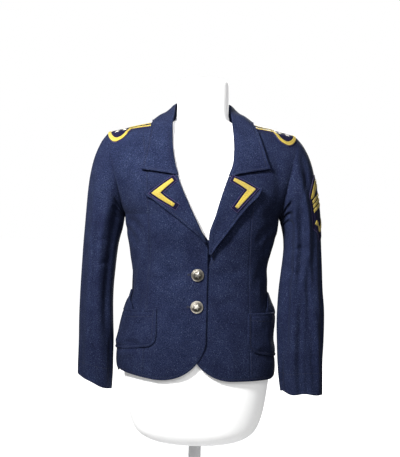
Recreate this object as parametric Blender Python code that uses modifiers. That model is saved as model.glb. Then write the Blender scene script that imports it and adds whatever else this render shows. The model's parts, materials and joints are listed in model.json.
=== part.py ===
"""A military-style blazer, buttoned, on a limbless dress form with a pole and a round base.

Metres, +Z up, origin at the centre of the base's underside. The front faces -Y, so the wearer's right is at
-X. Every cloth piece lies on one torso surface: at each height a superellipse with its own half width and depth.
Sleeves are rings between an inner and an outer line. A wall is such a surface and the same surface moved in.
"""

import bmesh
import bpy
import numpy as np
from mathutils import Matrix

COLLECTION = "military_blazer_on_form"

# Driving dimensions
WALL = 0.0018
SEAM = 0.0003
SQUARENESS = 2.2
ARMPIT_HEIGHT = 0.580
ARMHOLE_HALF_DEPTH = 0.070
NECK_HEIGHT = 0.768
ROLL_RADIUS = 0.0022
ROLL_TURNS = (12, 60, 108, 156)
LAP_LIFT = 0.0027
CORNER_CENTRE = (0.070, 0.345)
CORNER_RADII = (0.0866, 0.0826)
CORNER_TOP = 0.372
FAN_ROWS, LEVEL_ROWS, ARMHOLE_ROWS = 3, 7, 12
BUTTON_RADIUS = 0.0122
BUTTON_HEIGHTS = {"button_upper": 0.4656, "button_lower": 0.4036}
BUTTON_X = -0.0024
BASE_RADIUS = 0.150
BASE_THICKNESS = 0.012
BASE_BEVEL = 0.004
POLE_RADIUS = 0.0125
FORM_BOTTOM = 0.128

# height, half width on the wearer's right, on the left, depth of the front, of the back
TORSO = np.array([
    (0.250, 0.152, 0.150, 0.112, 0.118),
    (0.270, 0.158, 0.155, 0.112, 0.118),
    (0.290, 0.161, 0.156, 0.112, 0.117),
    (0.310, 0.161, 0.154, 0.111, 0.116),
    (0.332, 0.159, 0.1505, 0.109, 0.113),
    (0.356, 0.151, 0.1465, 0.107, 0.109),
    (0.380, 0.1415, 0.1425, 0.104, 0.104),
    (0.404, 0.1350, 0.1395, 0.101, 0.099),
    (0.428, 0.1335, 0.1385, 0.099, 0.094),
    (0.452, 0.1335, 0.1375, 0.098, 0.091),
    (0.476, 0.1340, 0.1360, 0.099, 0.089),
    (0.500, 0.1380, 0.1400, 0.102, 0.089),
    (0.524, 0.1420, 0.1470, 0.108, 0.092),
    (0.548, 0.1465, 0.1535, 0.115, 0.097),
    (0.580, 0.1500, 0.1570, 0.121, 0.103),
    (0.612, 0.1520, 0.1590, 0.123, 0.107),
    (0.640, 0.1540, 0.1610, 0.119, 0.109),
    (0.665, 0.1560, 0.1630, 0.113, 0.108),
    (0.690, 0.1600, 0.1660, 0.104, 0.104),
    (0.712, 0.1650, 0.1700, 0.093, 0.098),
    (0.730, 0.1700, 0.1750, 0.081, 0.090),
    (0.745, 0.1700, 0.1750, 0.070, 0.080),
    (0.760, 0.1700, 0.1750, 0.060, 0.069),
    (0.772, 0.1700, 0.1750, 0.054, 0.061),
])

# height, distance of the shoulder seam from the centre
SHOULDER = np.array([
    (0.7395, 0.189), (0.7440, 0.172), (0.7485, 0.154),
    (0.7610, 0.100), (0.7680, 0.068), (0.7720, 0.052),
])

# height, distance of the princess seam from the centre
PRINCESS = np.array([
    (0.250, 0.105), (0.400, 0.099), (0.530, 0.097), (0.600, 0.0995),
    (0.656, 0.103), (0.700, 0.108), (0.760, 0.118),
])

# height, distance of the roll line from the centre (towards the wearer's own side; negative is past the centre)
ROLL_RIGHT = np.array([
    (0.526, -0.0141), (0.541, -0.0070), (0.556, 0.0000), (0.601, 0.0221), (0.6467, 0.0420), (0.662, 0.0467),
    (0.6955, 0.0552), (0.730, 0.0585), (0.750, 0.0600), (0.768, 0.0660),
])
ROLL_LEFT = np.array([
    (0.495, 0.0186), (0.520, 0.0186), (0.547, 0.0190), (0.5815, 0.0300), (0.6237, 0.0421), (0.651, 0.0512),
    (0.678, 0.0610), (0.708, 0.0635), (0.737, 0.0620), (0.752, 0.0612), (0.768, 0.0660),
])

# height, distance of the front's own edge from the centre, below and behind the roll
EDGE_RIGHT = np.array([(0.250, -0.0166), (0.5150, -0.0166), (0.5290, -0.0105), (0.5450, -0.0030)])
EDGE_LEFT = np.array([(0.250, -0.0166), (0.4610, -0.0166), (0.4905, 0.0218), (0.5280, 0.0218)])

# distance from the centre, height of the hem
HEM_RIGHT = np.array([(-0.02, 0.2625), (0.080, 0.2625), (0.110, 0.2665), (0.141, 0.2720), (0.165, 0.2790)])
HEM_LEFT = np.array([(-0.02, 0.2615), (0.100, 0.2610), (0.129, 0.2600), (0.148, 0.2630), (0.160, 0.2690)])
BACK_HEM = 0.268

# inner x, inner z, outer x, outer z, centre y, half depth, down the sleeve
SLEEVE_RIGHT = np.array([
    (0.1500, 0.5800, 0.1890, 0.7395, 0.000, 0.0700),
    (0.1505, 0.5745, 0.1995, 0.7260, -0.001, 0.0715),
    (0.1512, 0.5690, 0.2090, 0.7060, -0.002, 0.0715),
    (0.1522, 0.5630, 0.2160, 0.6840, -0.003, 0.0700),
    (0.1535, 0.5560, 0.2210, 0.6580, -0.004, 0.0670),
    (0.1552, 0.5480, 0.2245, 0.6290, -0.005, 0.0630),
    (0.1580, 0.5370, 0.2270, 0.5960, -0.007, 0.0590),
    (0.1610, 0.5210, 0.2295, 0.5600, -0.009, 0.0560),
    (0.1635, 0.4980, 0.2320, 0.5200, -0.011, 0.0535),
    (0.1660, 0.4700, 0.2335, 0.4800, -0.013, 0.0510),
    (0.1685, 0.4380, 0.2345, 0.4400, -0.016, 0.0490),
    (0.1690, 0.4050, 0.2350, 0.4030, -0.019, 0.0470),
    (0.1675, 0.3700, 0.2350, 0.3700, -0.023, 0.0450),
    (0.1655, 0.3350, 0.2345, 0.3370, -0.026, 0.0430),
    (0.1650, 0.3000, 0.2345, 0.3080, -0.029, 0.0415),
    (0.1650, 0.2680, 0.2345, 0.2850, -0.031, 0.0405),
    (0.1665, 0.2350, 0.2340, 0.2640, -0.032, 0.0400),
])
SLEEVE_LEFT = np.array([
    (0.1570, 0.5800, 0.1890, 0.7395, 0.000, 0.0700),
    (0.1580, 0.5745, 0.2010, 0.7260, -0.001, 0.0715),
    (0.1597, 0.5690, 0.2125, 0.7060, -0.002, 0.0715),
    (0.1620, 0.5620, 0.2205, 0.6840, -0.003, 0.0700),
    (0.1640, 0.5540, 0.2265, 0.6580, -0.004, 0.0670),
    (0.1658, 0.5450, 0.2320, 0.6290, -0.005, 0.0620),
    (0.1668, 0.5330, 0.2370, 0.5960, -0.007, 0.0570),
    (0.1668, 0.5170, 0.2400, 0.5600, -0.009, 0.0530),
    (0.1650, 0.4970, 0.2425, 0.5200, -0.012, 0.0500),
    (0.1620, 0.4700, 0.2445, 0.4800, -0.015, 0.0475),
    (0.1590, 0.4400, 0.2460, 0.4400, -0.019, 0.0450),
    (0.1570, 0.4080, 0.2490, 0.4030, -0.024, 0.0425),
    (0.1560, 0.3720, 0.2495, 0.3680, -0.029, 0.0400),
    (0.1570, 0.3350, 0.2490, 0.3340, -0.032, 0.0380),
    (0.1585, 0.3000, 0.2480, 0.3020, -0.033, 0.0370),
    (0.1615, 0.2680, 0.2485, 0.2700, -0.033, 0.0365),
    (0.1660, 0.2385, 0.2490, 0.2335, -0.033, 0.0360),
])

# angle from the inner line over the front, angle's half width, first and last share of the length, depth
FOLDS_RIGHT = np.array([
    (48, 17, 0.10, 0.80, 0.0060), (98, 15, 0.20, 0.85, 0.0025), (140, 14, 0.30, 1.05, 0.0028),
    (236, 18, 0.15, 0.75, 0.0045), (292, 16, 0.25, 0.95, 0.0035),
])
FOLDS_LEFT = np.array([
    (44, 16, 0.12, 0.85, 0.0065), (84, 11, 0.25, 1.10, 0.0060), (122, 10, 0.10, 0.70, 0.0035),
    (104, 9, 0.62, 1.10, 0.0040), (232, 18, 0.20, 0.80, 0.0045), (296, 16, 0.30, 0.95, 0.0040),
])

# fold x, y, z and fall x, y, z of the collar, from beside the neck to the centre back
COLLAR_SIDE = np.array([
    (0.0595, -0.058, 0.7590, 0.0820, -0.048, 0.7650), (0.0580, -0.036, 0.7740, 0.0810, -0.026, 0.7770),
    (0.0565, -0.006, 0.7870, 0.0795, 0.002, 0.7830), (0.0565, 0.026, 0.7985, 0.0765, 0.036, 0.7830),
    (0.0500, 0.054, 0.8085, 0.0610, 0.077, 0.7830), (0.0000, 0.070, 0.8130, 0.0000, 0.0925, 0.7830),
])

# x, z of the collar's outer edge on the front (seven rows), then on the back (three rows)
COLLAR_EDGE_RIGHT = np.array([
    (0.1144, 0.6650), (0.1105, 0.6840), (0.1055, 0.7080), (0.1034, 0.7350), (0.1022, 0.7480),
    (0.1012, 0.7560), (0.1005, 0.7606), (0.0930, 0.7470), (0.0600, 0.7330), (0.0000, 0.7290),
])
COLLAR_EDGE_LEFT = np.array([
    (0.1312, 0.6710), (0.1250, 0.6860), (0.1197, 0.7060), (0.1125, 0.7330), (0.1065, 0.7470),
    (0.1035, 0.7550), (0.1015, 0.7604), (0.0930, 0.7470), (0.0600, 0.7330), (0.0000, 0.7290),
])
COLLAR_FRONT_ROWS = 7
COLLAR_SIDE_BASES = (0.7500, 0.7630)
COLLAR_FRONT_HEIGHTS = (0.6556, 0.6800, 0.7080, 0.7330)
COLLAR_LIFTS = (0.0078, 0.0078, 0.0074, 0.0066, 0.0056, 0.0048, 0.0052, 0.0080, 0.0080, 0.0078)
COLLAR_TURN = 0.004
COLLAR_CENTRE_Y = 0.004
CHEST_CENTRE = (0, 0, 0.70)
COLLAR_SHARES = np.array([0, 0.12, 0.22, 0.27, 0.32, 0.44, 0.58, 0.72, 0.86, 1.0])

# roll z, outer x, outer z of the lapel, from its lower end to the gorge
LAPEL_RIGHT = np.array([
    (0.5290, -0.0100, 0.5310), (0.5500, 0.0060, 0.5455), (0.5750, 0.0330, 0.5665), (0.6000, 0.0620, 0.5885),
    (0.6250, 0.0880, 0.6070), (0.6420, 0.1030, 0.6160), (0.6545, 0.1060, 0.6230),
])
LAPEL_LEFT = np.array([
    (0.5060, 0.0262, 0.5050), (0.5300, 0.0300, 0.5250), (0.5600, 0.0450, 0.5450), (0.5900, 0.0660, 0.5720),
    (0.6170, 0.0880, 0.5990), (0.6380, 0.1070, 0.6190), (0.6545, 0.1145, 0.6320),
])
LAPEL_LIFT_RIGHT = 0.0058
LAPEL_LIFT_LEFT = 0.0085
GORGE_BOW = {"right": 0.0045, "left": 0.0060}

# chevron paths on the lapels: x, z of arm end, vertex and arm end
CHEVRON_RIGHT = np.array([
    (-0.0529, 0.6463), (-0.0679, 0.6343), (-0.0832, 0.6208), (-0.0698, 0.6112), (-0.0489, 0.5986),
])
CHEVRON_LEFT = np.array([
    (0.0613, 0.6491), (0.0775, 0.6411), (0.0938, 0.6312), (0.0795, 0.6142), (0.0662, 0.5970),
])
CHEVRON_TIP_HALF_WIDTH, CHEVRON_END_HALF_WIDTH = 0.0056, 0.0034
PATCH_THICKNESS = 0.0012

# x of the pocket's inner edge, heights of its mouth and bottom at the inner and the outer end, corner radius
POCKETS = {
    "right": {"inner": 0.0785, "mouth": (0.398, 0.391), "bottom": (0.327, 0.315), "corner": 0.018},
    "left": {"inner": 0.0950, "mouth": (0.3935, 0.3915), "bottom": (0.320, 0.306), "corner": 0.024},
}
POCKET_SLACK = 0.0008
GAPE = {"right": 0.0075, "left": 0.0100}
GAPE_HEIGHTS = (0.332, 0.391, 0.434)
GAPE_ANGLE = 11.0

STRAP_START, STRAP_HALF_WIDTH = 0.1070, 0.0140
LOBE_FORWARD, STRAP_FORWARD = 0.022, 0.014
LOBE_CENTRE, LOBE_LENGTH, LOBE_HALF_WIDTH, LOBE_END_HALF_WIDTH = 0.1610, 0.0245, 0.0370, 0.006
EPAULETTE_THICKNESS = 0.0020
BRAID_WIDTH, BRAID_THICKNESS, BRAID_INSET = 0.0055, 0.0009, 0.0008

# the badge's shares of the sleeve's length and angles round it, how far its top arches and its tip hangs
BADGE_SPAN = (0.225, 0.475)
BADGE_ANGLES = (120.0, 198.0)
# clear of the faces of the cloth below, which are flat between its points
EPAULETTE_LIFT, BADGE_LIFT = 0.0010, 0.0008
BADGE_ARCH, BADGE_TIP = 0.045, 0.060

# height, half width, front depth, back depth of the form
FORM = np.array([
    (0.1280, 0.045, 0.040, 0.040), (0.1300, 0.070, 0.058, 0.060), (0.1360, 0.093, 0.074, 0.077),
    (0.1470, 0.112, 0.086, 0.090), (0.1620, 0.124, 0.093, 0.098), (0.1900, 0.134, 0.097, 0.104),
    (0.2300, 0.141, 0.100, 0.108), (0.2700, 0.145, 0.101, 0.109), (0.3100, 0.144, 0.100, 0.107),
    (0.3500, 0.137, 0.097, 0.101), (0.3900, 0.1265, 0.093, 0.093), (0.4300, 0.1240, 0.089, 0.085),
    (0.4650, 0.1240, 0.088, 0.081), (0.5000, 0.1280, 0.092, 0.080), (0.5400, 0.1350, 0.103, 0.086),
    (0.5800, 0.1400, 0.112, 0.094), (0.6120, 0.1430, 0.115, 0.098), (0.6400, 0.1460, 0.112, 0.100),
    (0.6650, 0.1500, 0.106, 0.099), (0.6900, 0.1550, 0.097, 0.095), (0.7120, 0.1610, 0.086, 0.089),
    (0.7250, 0.1640, 0.077, 0.082), (0.7350, 0.1630, 0.069, 0.075), (0.7420, 0.1560, 0.062, 0.070),
    (0.7470, 0.1380, 0.057, 0.066), (0.7520, 0.1170, 0.053, 0.062), (0.7570, 0.0960, 0.050, 0.058),
    (0.7620, 0.0740, 0.049, 0.055), (0.7680, 0.0570, 0.0490, 0.0535), (0.7760, 0.0530, 0.049, 0.052),
    (0.7900, 0.0520, 0.050, 0.052), (0.8400, 0.0520, 0.050, 0.052), (0.8480, 0.0480, 0.046, 0.048),
    (0.8520, 0.0400, 0.038, 0.040), (0.8530, 0.0300, 0.028, 0.030),
])
NAVY, GOLD, SILVER = (0.022, 0.030, 0.090), (0.70, 0.47, 0.07), (0.42, 0.38, 0.30)
PAINT_WHITE, STEEL_WHITE = (0.86, 0.86, 0.85), (0.80, 0.80, 0.80)


def curve_through(stations, values, at):
    """The smooth curve through a table's values, a cubic between each two stations, held flat past the ends."""
    at = np.clip(at, stations[0], stations[-1])
    slopes = np.gradient(values, stations, axis=0)
    low = np.clip(np.searchsorted(stations, at, side="right") - 1, 0, len(stations) - 2)
    spare = (1,) * (values.ndim - 1)
    step = stations[low + 1] - stations[low]
    share = (at - stations[low]) / step
    step, share = step.reshape(step.shape + spare), share.reshape(share.shape + spare)
    rise, fall = share * share * (3 - 2 * share), (1 - share) ** 2 * (1 + 2 * share)
    start, end = share * (1 - share) ** 2, share * share * (share - 1)
    ends = values[low] * fall + values[low + 1] * rise
    return ends + step * (slopes[low] * start + slopes[low + 1] * end)


def column(table, number, at):
    return curve_through(table[:, 0], table[:, number], at)


def mix(first, second, share):
    return first + (second - first) * share


def smooth_step(low, high, value):
    share = np.clip((value - low) / (high - low), 0, 1)
    return share * share * (3 - 2 * share)


def unit(vectors):
    return vectors / np.linalg.norm(vectors, axis=-1, keepdims=True)


def side_sign(side):
    return -1.0 if side == "right" else 1.0


def sleeve_table(side):
    return SLEEVE_RIGHT if side == "right" else SLEEVE_LEFT


def armhole_x(side, height):
    inner_x, inner_z, outer_x, outer_z = sleeve_table(side)[0, :4]
    return mix(inner_x, outer_x, (height - inner_z) / (outer_z - inner_z))


def torso_depth(face, height):
    return column(TORSO, 3 if face == "front" else 4, height)


def torso_half_width(side, face, height):
    """The side seam up to the armpit, the arm's root behind the armhole, then the slope of the shoulder."""
    flank = column(TORSO, 1 if side == "right" else 2, height)
    top = sleeve_table(side)[0, 3]
    share = np.clip((height - ARMPIT_HEIGHT) / (top - ARMPIT_HEIGHT), 0, 1)
    half_depth = 2 * ARMHOLE_HALF_DEPTH * np.sqrt(share * (1 - share))
    filled = 1 - (half_depth / torso_depth(face, height)) ** SQUARENESS
    root = armhole_x(side, height) / filled ** (1 / SQUARENESS)
    slope = column(SHOULDER, 1, height)
    return np.where(height < ARMPIT_HEIGHT, flank, np.where(height < top, root, slope))


def filling(side, face, x, y, height):
    across = (np.abs(x) / torso_half_width(side, face, height)) ** SQUARENESS
    return across + (np.abs(y) / torso_depth(face, height)) ** SQUARENESS


def torso_y(side, face, x, height):
    room = np.clip(1 - (np.abs(x) / torso_half_width(side, face, height)) ** SQUARENESS, 0, 1)
    return torso_depth(face, height) * room ** (1 / SQUARENESS) * (-1 if face == "front" else 1)


def torso_normal(side, face, x, y, height):
    step = 2e-4
    half_width, depth = torso_half_width(side, face, height), torso_depth(face, height)
    power = SQUARENESS - 1
    across = np.sign(x) * np.abs(x) ** power / half_width**SQUARENESS
    deep = np.sign(y) * np.abs(y) ** power / depth**SQUARENESS
    rise = filling(side, face, x, y, height + step) - filling(side, face, x, y, height - step)
    return unit(np.stack([across, deep, rise / (2 * step * SQUARENESS)], axis=-1))


def gape(side, x, y, height):
    """How far the side seam stands out where the pocket's mouth pulls it."""
    angle = np.degrees(np.arctan2(np.abs(y), np.abs(x)))
    low, middle, high = GAPE_HEIGHTS
    window = smooth_step(low, middle, height) * (1 - smooth_step(middle, high, height))
    return GAPE[side] * window * np.exp(-((angle / GAPE_ANGLE) ** 2))


def on_torso(side, face, x, height, lift=0.0):
    """Points on the cloth's outer surface, moved out by lift, and the directions that point out of it."""
    x, height = np.broadcast_arrays(np.asarray(x, float), np.asarray(height, float))
    signed = x * side_sign(side)
    y = torso_y(side, face, signed, height)
    normal = torso_normal(side, face, signed, y, height)
    out = gape(side, signed, y, height) + lift
    return np.stack([signed, y, height], axis=-1) + normal * np.asarray(out)[..., None], normal


def shoulder_height(x):
    """The height at which the shoulder's slope is x from the centre: the smooth table, read backwards."""
    heights = np.linspace(SHOULDER[0, 0], SHOULDER[-1, 0], 400)
    return np.interp(x, column(SHOULDER, 1, heights)[::-1], heights[::-1])


def top_height(x):
    return np.minimum(shoulder_height(np.abs(x)), NECK_HEIGHT)


def hem_height(side, x):
    """The hem, rounded up to the front edge."""
    table = HEM_RIGHT if side == "right" else HEM_LEFT
    centre, middle = CORNER_CENTRE
    radius, rise = CORNER_RADII
    corner = middle - rise * np.sqrt(np.clip(1 - ((centre - x) / radius) ** 2, 0, 1))
    return np.where(x < centre, corner, np.maximum(column(table, 1, x), middle - rise))


def front_edge(side, height):
    """Distance from the centre to the front's edge: straight, then along the roll of the lapel."""
    roll, edge = (ROLL_RIGHT, EDGE_RIGHT) if side == "right" else (ROLL_LEFT, EDGE_LEFT)
    rolled = column(roll, 1, height) + ROLL_RADIUS + 2 * SEAM
    return np.where(height < edge[-1, 0], np.interp(height, edge[:, 0], edge[:, 1]), rolled)


def lap(side, x, height):
    """How far the wearer's right front lies out over the left one."""
    if side == "left":
        return np.zeros_like(x)
    return LAP_LIFT * (1 - smooth_step(0.020, 0.055, x)) * (1 - smooth_step(0.545, 0.610, height))


def panel_grid(place, bottom_of, shares):
    """x and height of a panel's points.

    Its rows fan out over the rounded corner, are level up to the armpit, and above it stand where the
    armhole's ring has its points.
    """
    level = ARMPIT_HEIGHT - SEAM
    fan = np.linspace(0, 1, FAN_ROWS + 1)[:, None]
    middle = mix(CORNER_TOP, level, np.linspace(0, 1, LEVEL_ROWS + 1)[1:, None])
    high = (1 - np.cos(np.linspace(0, np.pi, ARMHOLE_ROWS + 1)[1:, None])) / 2
    x = np.broadcast_to(place(np.full((1, 1), level), shares), (1, len(shares)))
    for _ in range(16):
        low, top = mix(bottom_of(x[0]), CORNER_TOP, fan), mix(level, top_height(x[-1]), high)
        height = np.concatenate([low, middle + 0 * shares, top])
        x = place(height, shares)
    return x, height


def outer_edge(side, height):
    level = ARMPIT_HEIGHT - SEAM
    flank = torso_half_width(side, "front", np.minimum(height, level))
    return np.where(height <= level, flank, armhole_x(side, height) - SEAM)


def around(inner, outer, shares):
    """Distances from the centre that are evenly spaced round the body, from inner to outer."""
    start = np.arcsin(np.clip(inner / outer, 0, 1) ** (SQUARENESS / 2))
    return outer * np.sin(mix(start, np.pi / 2, shares)) ** (2 / SQUARENESS)


def sleeve_point(side, angle, share, folds=True):
    """A point of the sleeve: angle from the inner line over the front, share of the way down."""
    table = sleeve_table(side)
    stations = np.arange(len(table), dtype=float)
    angle, share = np.broadcast_arrays(np.asarray(angle, float), np.asarray(share, float))
    values = curve_through(stations, table, share * stations[-1])
    inner_x, inner_z, outer_x, outer_z, centre_y, half_depth = np.moveaxis(values, -1, 0)
    turn = np.radians(angle)
    out = (1 - np.cos(turn)) / 2
    x, z = mix(inner_x, outer_x, out), mix(inner_z, outer_z, out)
    y = centre_y - half_depth * np.sin(turn)
    point = np.stack([x * side_sign(side), y, z], axis=-1)
    if not folds:
        return point
    middle = np.stack([(inner_x + outer_x) / 2 * side_sign(side), centre_y, (inner_z + outer_z) / 2], axis=-1)
    depth = np.zeros_like(share)
    for centre, width, first, last, deep in FOLDS_RIGHT if side == "right" else FOLDS_LEFT:
        bell = np.exp(-(((angle - centre) / width) ** 2))
        depth = depth + deep * bell * smooth_step(first - 0.12, first + 0.12, share) * (
            1 - smooth_step(last - 0.12, last + 0.12, share))
    return point + unit(middle - point) * depth[..., None]


def sleeve_normal(side, angle, share):
    step = 1e-3
    turn = sleeve_point(side, angle + 1, share, False) - sleeve_point(side, angle - 1, share, False)
    before, after = np.maximum(share - step, 0), share + step
    along = sleeve_point(side, angle, after, False) - sleeve_point(side, angle, before, False)
    return unit(np.cross(turn, along)) * -side_sign(side)


def armhole_mitre(side, angle):
    """At the armhole's seam: the direction midway between the body's and the sleeve's."""
    point = sleeve_point(side, angle, np.zeros_like(angle), False)
    signed, y, height = point[..., 0] - side_sign(side) * SEAM, point[..., 1], point[..., 2]
    front = torso_normal(side, "front", signed, y, height)
    back = torso_normal(side, "back", signed, y, height)
    body = np.where((y < 0)[..., None], front, back)
    return unit(body + sleeve_normal(side, angle, np.zeros_like(angle)))


def mesh_object(name, points, faces, colour, roughness=0.9, metallic=0.0):
    mesh = bpy.data.meshes.new(name)
    mesh.from_pydata(points.tolist(), [], faces)
    mesh.validate()
    whole = bmesh.new()
    whole.from_mesh(mesh)
    if whole.calc_volume(signed=True) < 0:
        bmesh.ops.reverse_faces(whole, faces=whole.faces)
    whole.to_mesh(mesh)
    whole.free()
    mesh.shade_smooth()
    return add_object(name, mesh, colour, roughness, metallic)


def add_object(name, mesh, colour, roughness, metallic):
    material = bpy.data.materials.new(name)
    material.use_nodes = True
    shader = material.node_tree.nodes["Principled BSDF"]
    shader.inputs["Base Color"].default_value = (*colour, 1)
    shader.inputs["Roughness"].default_value = roughness
    shader.inputs["Metallic"].default_value = metallic
    mesh.materials.clear()
    mesh.materials.append(material)
    new = bpy.data.objects.new(name, mesh)
    bpy.data.collections[COLLECTION].objects.link(new)
    return new


def grid_faces(rows, columns, start=0, closed=False):
    faces = []
    for row in range(rows - 1):
        for left in range(columns if closed else columns - 1):
            right = (left + 1) % columns
            low, high = start + row * columns, start + (row + 1) * columns
            faces.append((low + left, low + right, high + right, high + left))
    return faces


def wall(name, outer, inner, colour=NAVY, roughness=0.9, closed=False):
    """A closed body between two grids of points, rows by columns, open or closed round its columns."""
    rows, columns = outer.shape[:2]
    count = rows * columns
    faces = grid_faces(rows, columns, 0, closed)
    faces += [face[::-1] for face in grid_faces(rows, columns, count, closed)]
    border = []
    for left in range(columns if closed else columns - 1):
        right = (left + 1) % columns
        border += [(right, left), (count - columns + left, count - columns + right)]
    if not closed:
        for row in range(rows - 1):
            low, high = row * columns, (row + 1) * columns
            border += [(low, high), (high + columns - 1, low + columns - 1)]
    faces += [(first, second, second + count, first + count) for first, second in border]
    points = np.concatenate([outer.reshape(-1, 3), inner.reshape(-1, 3)])
    return mesh_object(name, points, faces, colour, roughness)


def panel(name, side, face, x, height, lift=0.0, armhole=False):
    """A body panel between the torso's surface and the same surface one wall further in."""
    outer, normal = on_torso(side, face, x, height, lift)
    outer[..., 1] += SEAM / 2 * (-1 if face == "front" else 1)
    if armhole:
        mitre_armhole(side, face, normal)
    return wall(name, outer, outer - WALL * normal)


def mitre_armhole(side, face, normal):
    """Turns a panel's directions along its armhole, its last column, to the seam's own."""
    angle = np.linspace(0, 180 if face == "front" else -180, ARMHOLE_ROWS + 1)
    normal[-ARMHOLE_ROWS - 1:, -1] = armhole_mitre(side, angle)


def make_fronts():
    for side in ("right", "left"):
        def centre_place(height, shares, side=side):
            return mix(front_edge(side, height), column(PRINCESS, 1, height) - SEAM / 2, shares)

        def side_place(height, shares, side=side):
            return around(column(PRINCESS, 1, height) + SEAM / 2, outer_edge(side, height), shares)

        def bottom_of(x, side=side):
            return hem_height(side, x)

        shares = 1 - np.cos(np.linspace(0, np.pi / 2, 10))
        x, height = panel_grid(centre_place, bottom_of, shares)
        panel(f"front_centre_{side}", side, "front", x, height, lap(side, x, height))
        x, height = panel_grid(side_place, bottom_of, np.linspace(0, 1, 7))
        panel(f"front_side_{side}", side, "front", x, height, armhole=True)


def make_back():
    """Both halves of the back as one grid, from the wearer's right side seam to the left one."""
    halves = []
    for side in ("right", "left"):
        def place(height, shares, side=side):
            return outer_edge(side, height) * shares

        shares = np.sin(np.linspace(0, np.pi / 2, 9)) ** (2 / SQUARENESS)
        x, height = panel_grid(place, lambda x: np.full_like(x, BACK_HEM), shares)
        outer, normal = on_torso(side, "back", x, height)
        outer[..., 1] += SEAM / 2
        mitre_armhole(side, "back", normal)
        halves.append((outer, outer - WALL * normal))
    (right_outer, right_inner), (left_outer, left_inner) = halves
    outer = np.concatenate([right_outer[:, :0:-1], left_outer], axis=1)
    wall("back", outer, np.concatenate([right_inner[:, :0:-1], left_inner], axis=1))


def make_sleeve(side, rings=22, around_count=24):
    angle = np.linspace(0, 360, around_count, endpoint=False)[None, :]
    share = (np.linspace(0, 1, rings) ** 1.15)[:, None]
    outer = sleeve_point(side, angle, share)
    normal = sleeve_normal(side, angle + 0 * share, share + 0 * angle)
    normal[0] = armhole_mitre(side, angle[0])
    wall(f"sleeve_{side}", outer, outer - WALL * normal, closed=True)


def lapel_rise(lift, share):
    """Height over the panel of the lapel's middle surface, from the roll (share 0) to the edge (share 1)."""
    return mix(2.1 * ROLL_RADIUS, lift, smooth_step(0.3, 1.0, share)) - WALL / 2


def rolled_section(side, roll_x, roll_height, outer_x, outer_height, lift, shares, bow=0.0):
    """Points and outward directions from a front's edge round its roll and across the turned-back cloth.

    The first points go round the roll, half a circle about the panel's edge. The others go from the roll to the
    outer edge, straight as the viewer sees it but for bow, and rise to lift above the panel.
    """
    share = shares[None, :]
    across = mix(roll_x[:, None] + 2 * ROLL_RADIUS, outer_x[:, None], share)
    height = mix(roll_height[:, None], outer_height[:, None], share) + bow * np.sin(np.pi * share)
    rise = lapel_rise(lift, share)
    flat, flat_normal = on_torso(side, "front", across, height, rise + lap(side, across, height))
    edge_lift = lap(side, roll_x, roll_height) - WALL / 2
    edge, normal = on_torso(side, "front", roll_x + ROLL_RADIUS, roll_height, edge_lift)
    outward = flat[:, 0] - edge
    outward = unit(outward - (outward * normal).sum(axis=-1, keepdims=True) * normal)
    points, normals = [], []
    for turn in np.radians(ROLL_TURNS):
        spoke = -np.sin(turn) * outward - np.cos(turn) * normal
        points.append(edge + ROLL_RADIUS * (normal + spoke))
        normals.append(spoke)
    rolled, rolled_normal = np.stack(points, axis=1), np.stack(normals, axis=1)
    return np.concatenate([rolled, flat], axis=1), np.concatenate([rolled_normal, flat_normal], axis=1)


def leaf(name, middle, normal, thickness=WALL, colour=NAVY):
    return wall(name, middle + normal * thickness / 2, middle - normal * thickness / 2, colour)


def lapel_rows(side, at):
    table = LAPEL_RIGHT if side == "right" else LAPEL_LEFT
    stations = np.linspace(0, 1, len(table))
    roll_height, outer_x, outer_height = curve_through(stations, table, at).T
    roll = ROLL_RIGHT if side == "right" else ROLL_LEFT
    return column(roll, 1, roll_height), roll_height, outer_x, outer_height


def lapel_surface(side, at, shares):
    bow = GORGE_BOW[side] * smooth_step(0.7, 1.0, at)[:, None]
    lift = LAPEL_LIFT_RIGHT if side == "right" else LAPEL_LIFT_LEFT
    return rolled_section(side, *lapel_rows(side, at), lift, shares, bow)


def make_lapel(side):
    points, normal = lapel_surface(side, np.linspace(0, 1, 15), np.linspace(0, 1, 8))
    leaf(f"lapel_{side}", points, normal)


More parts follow.
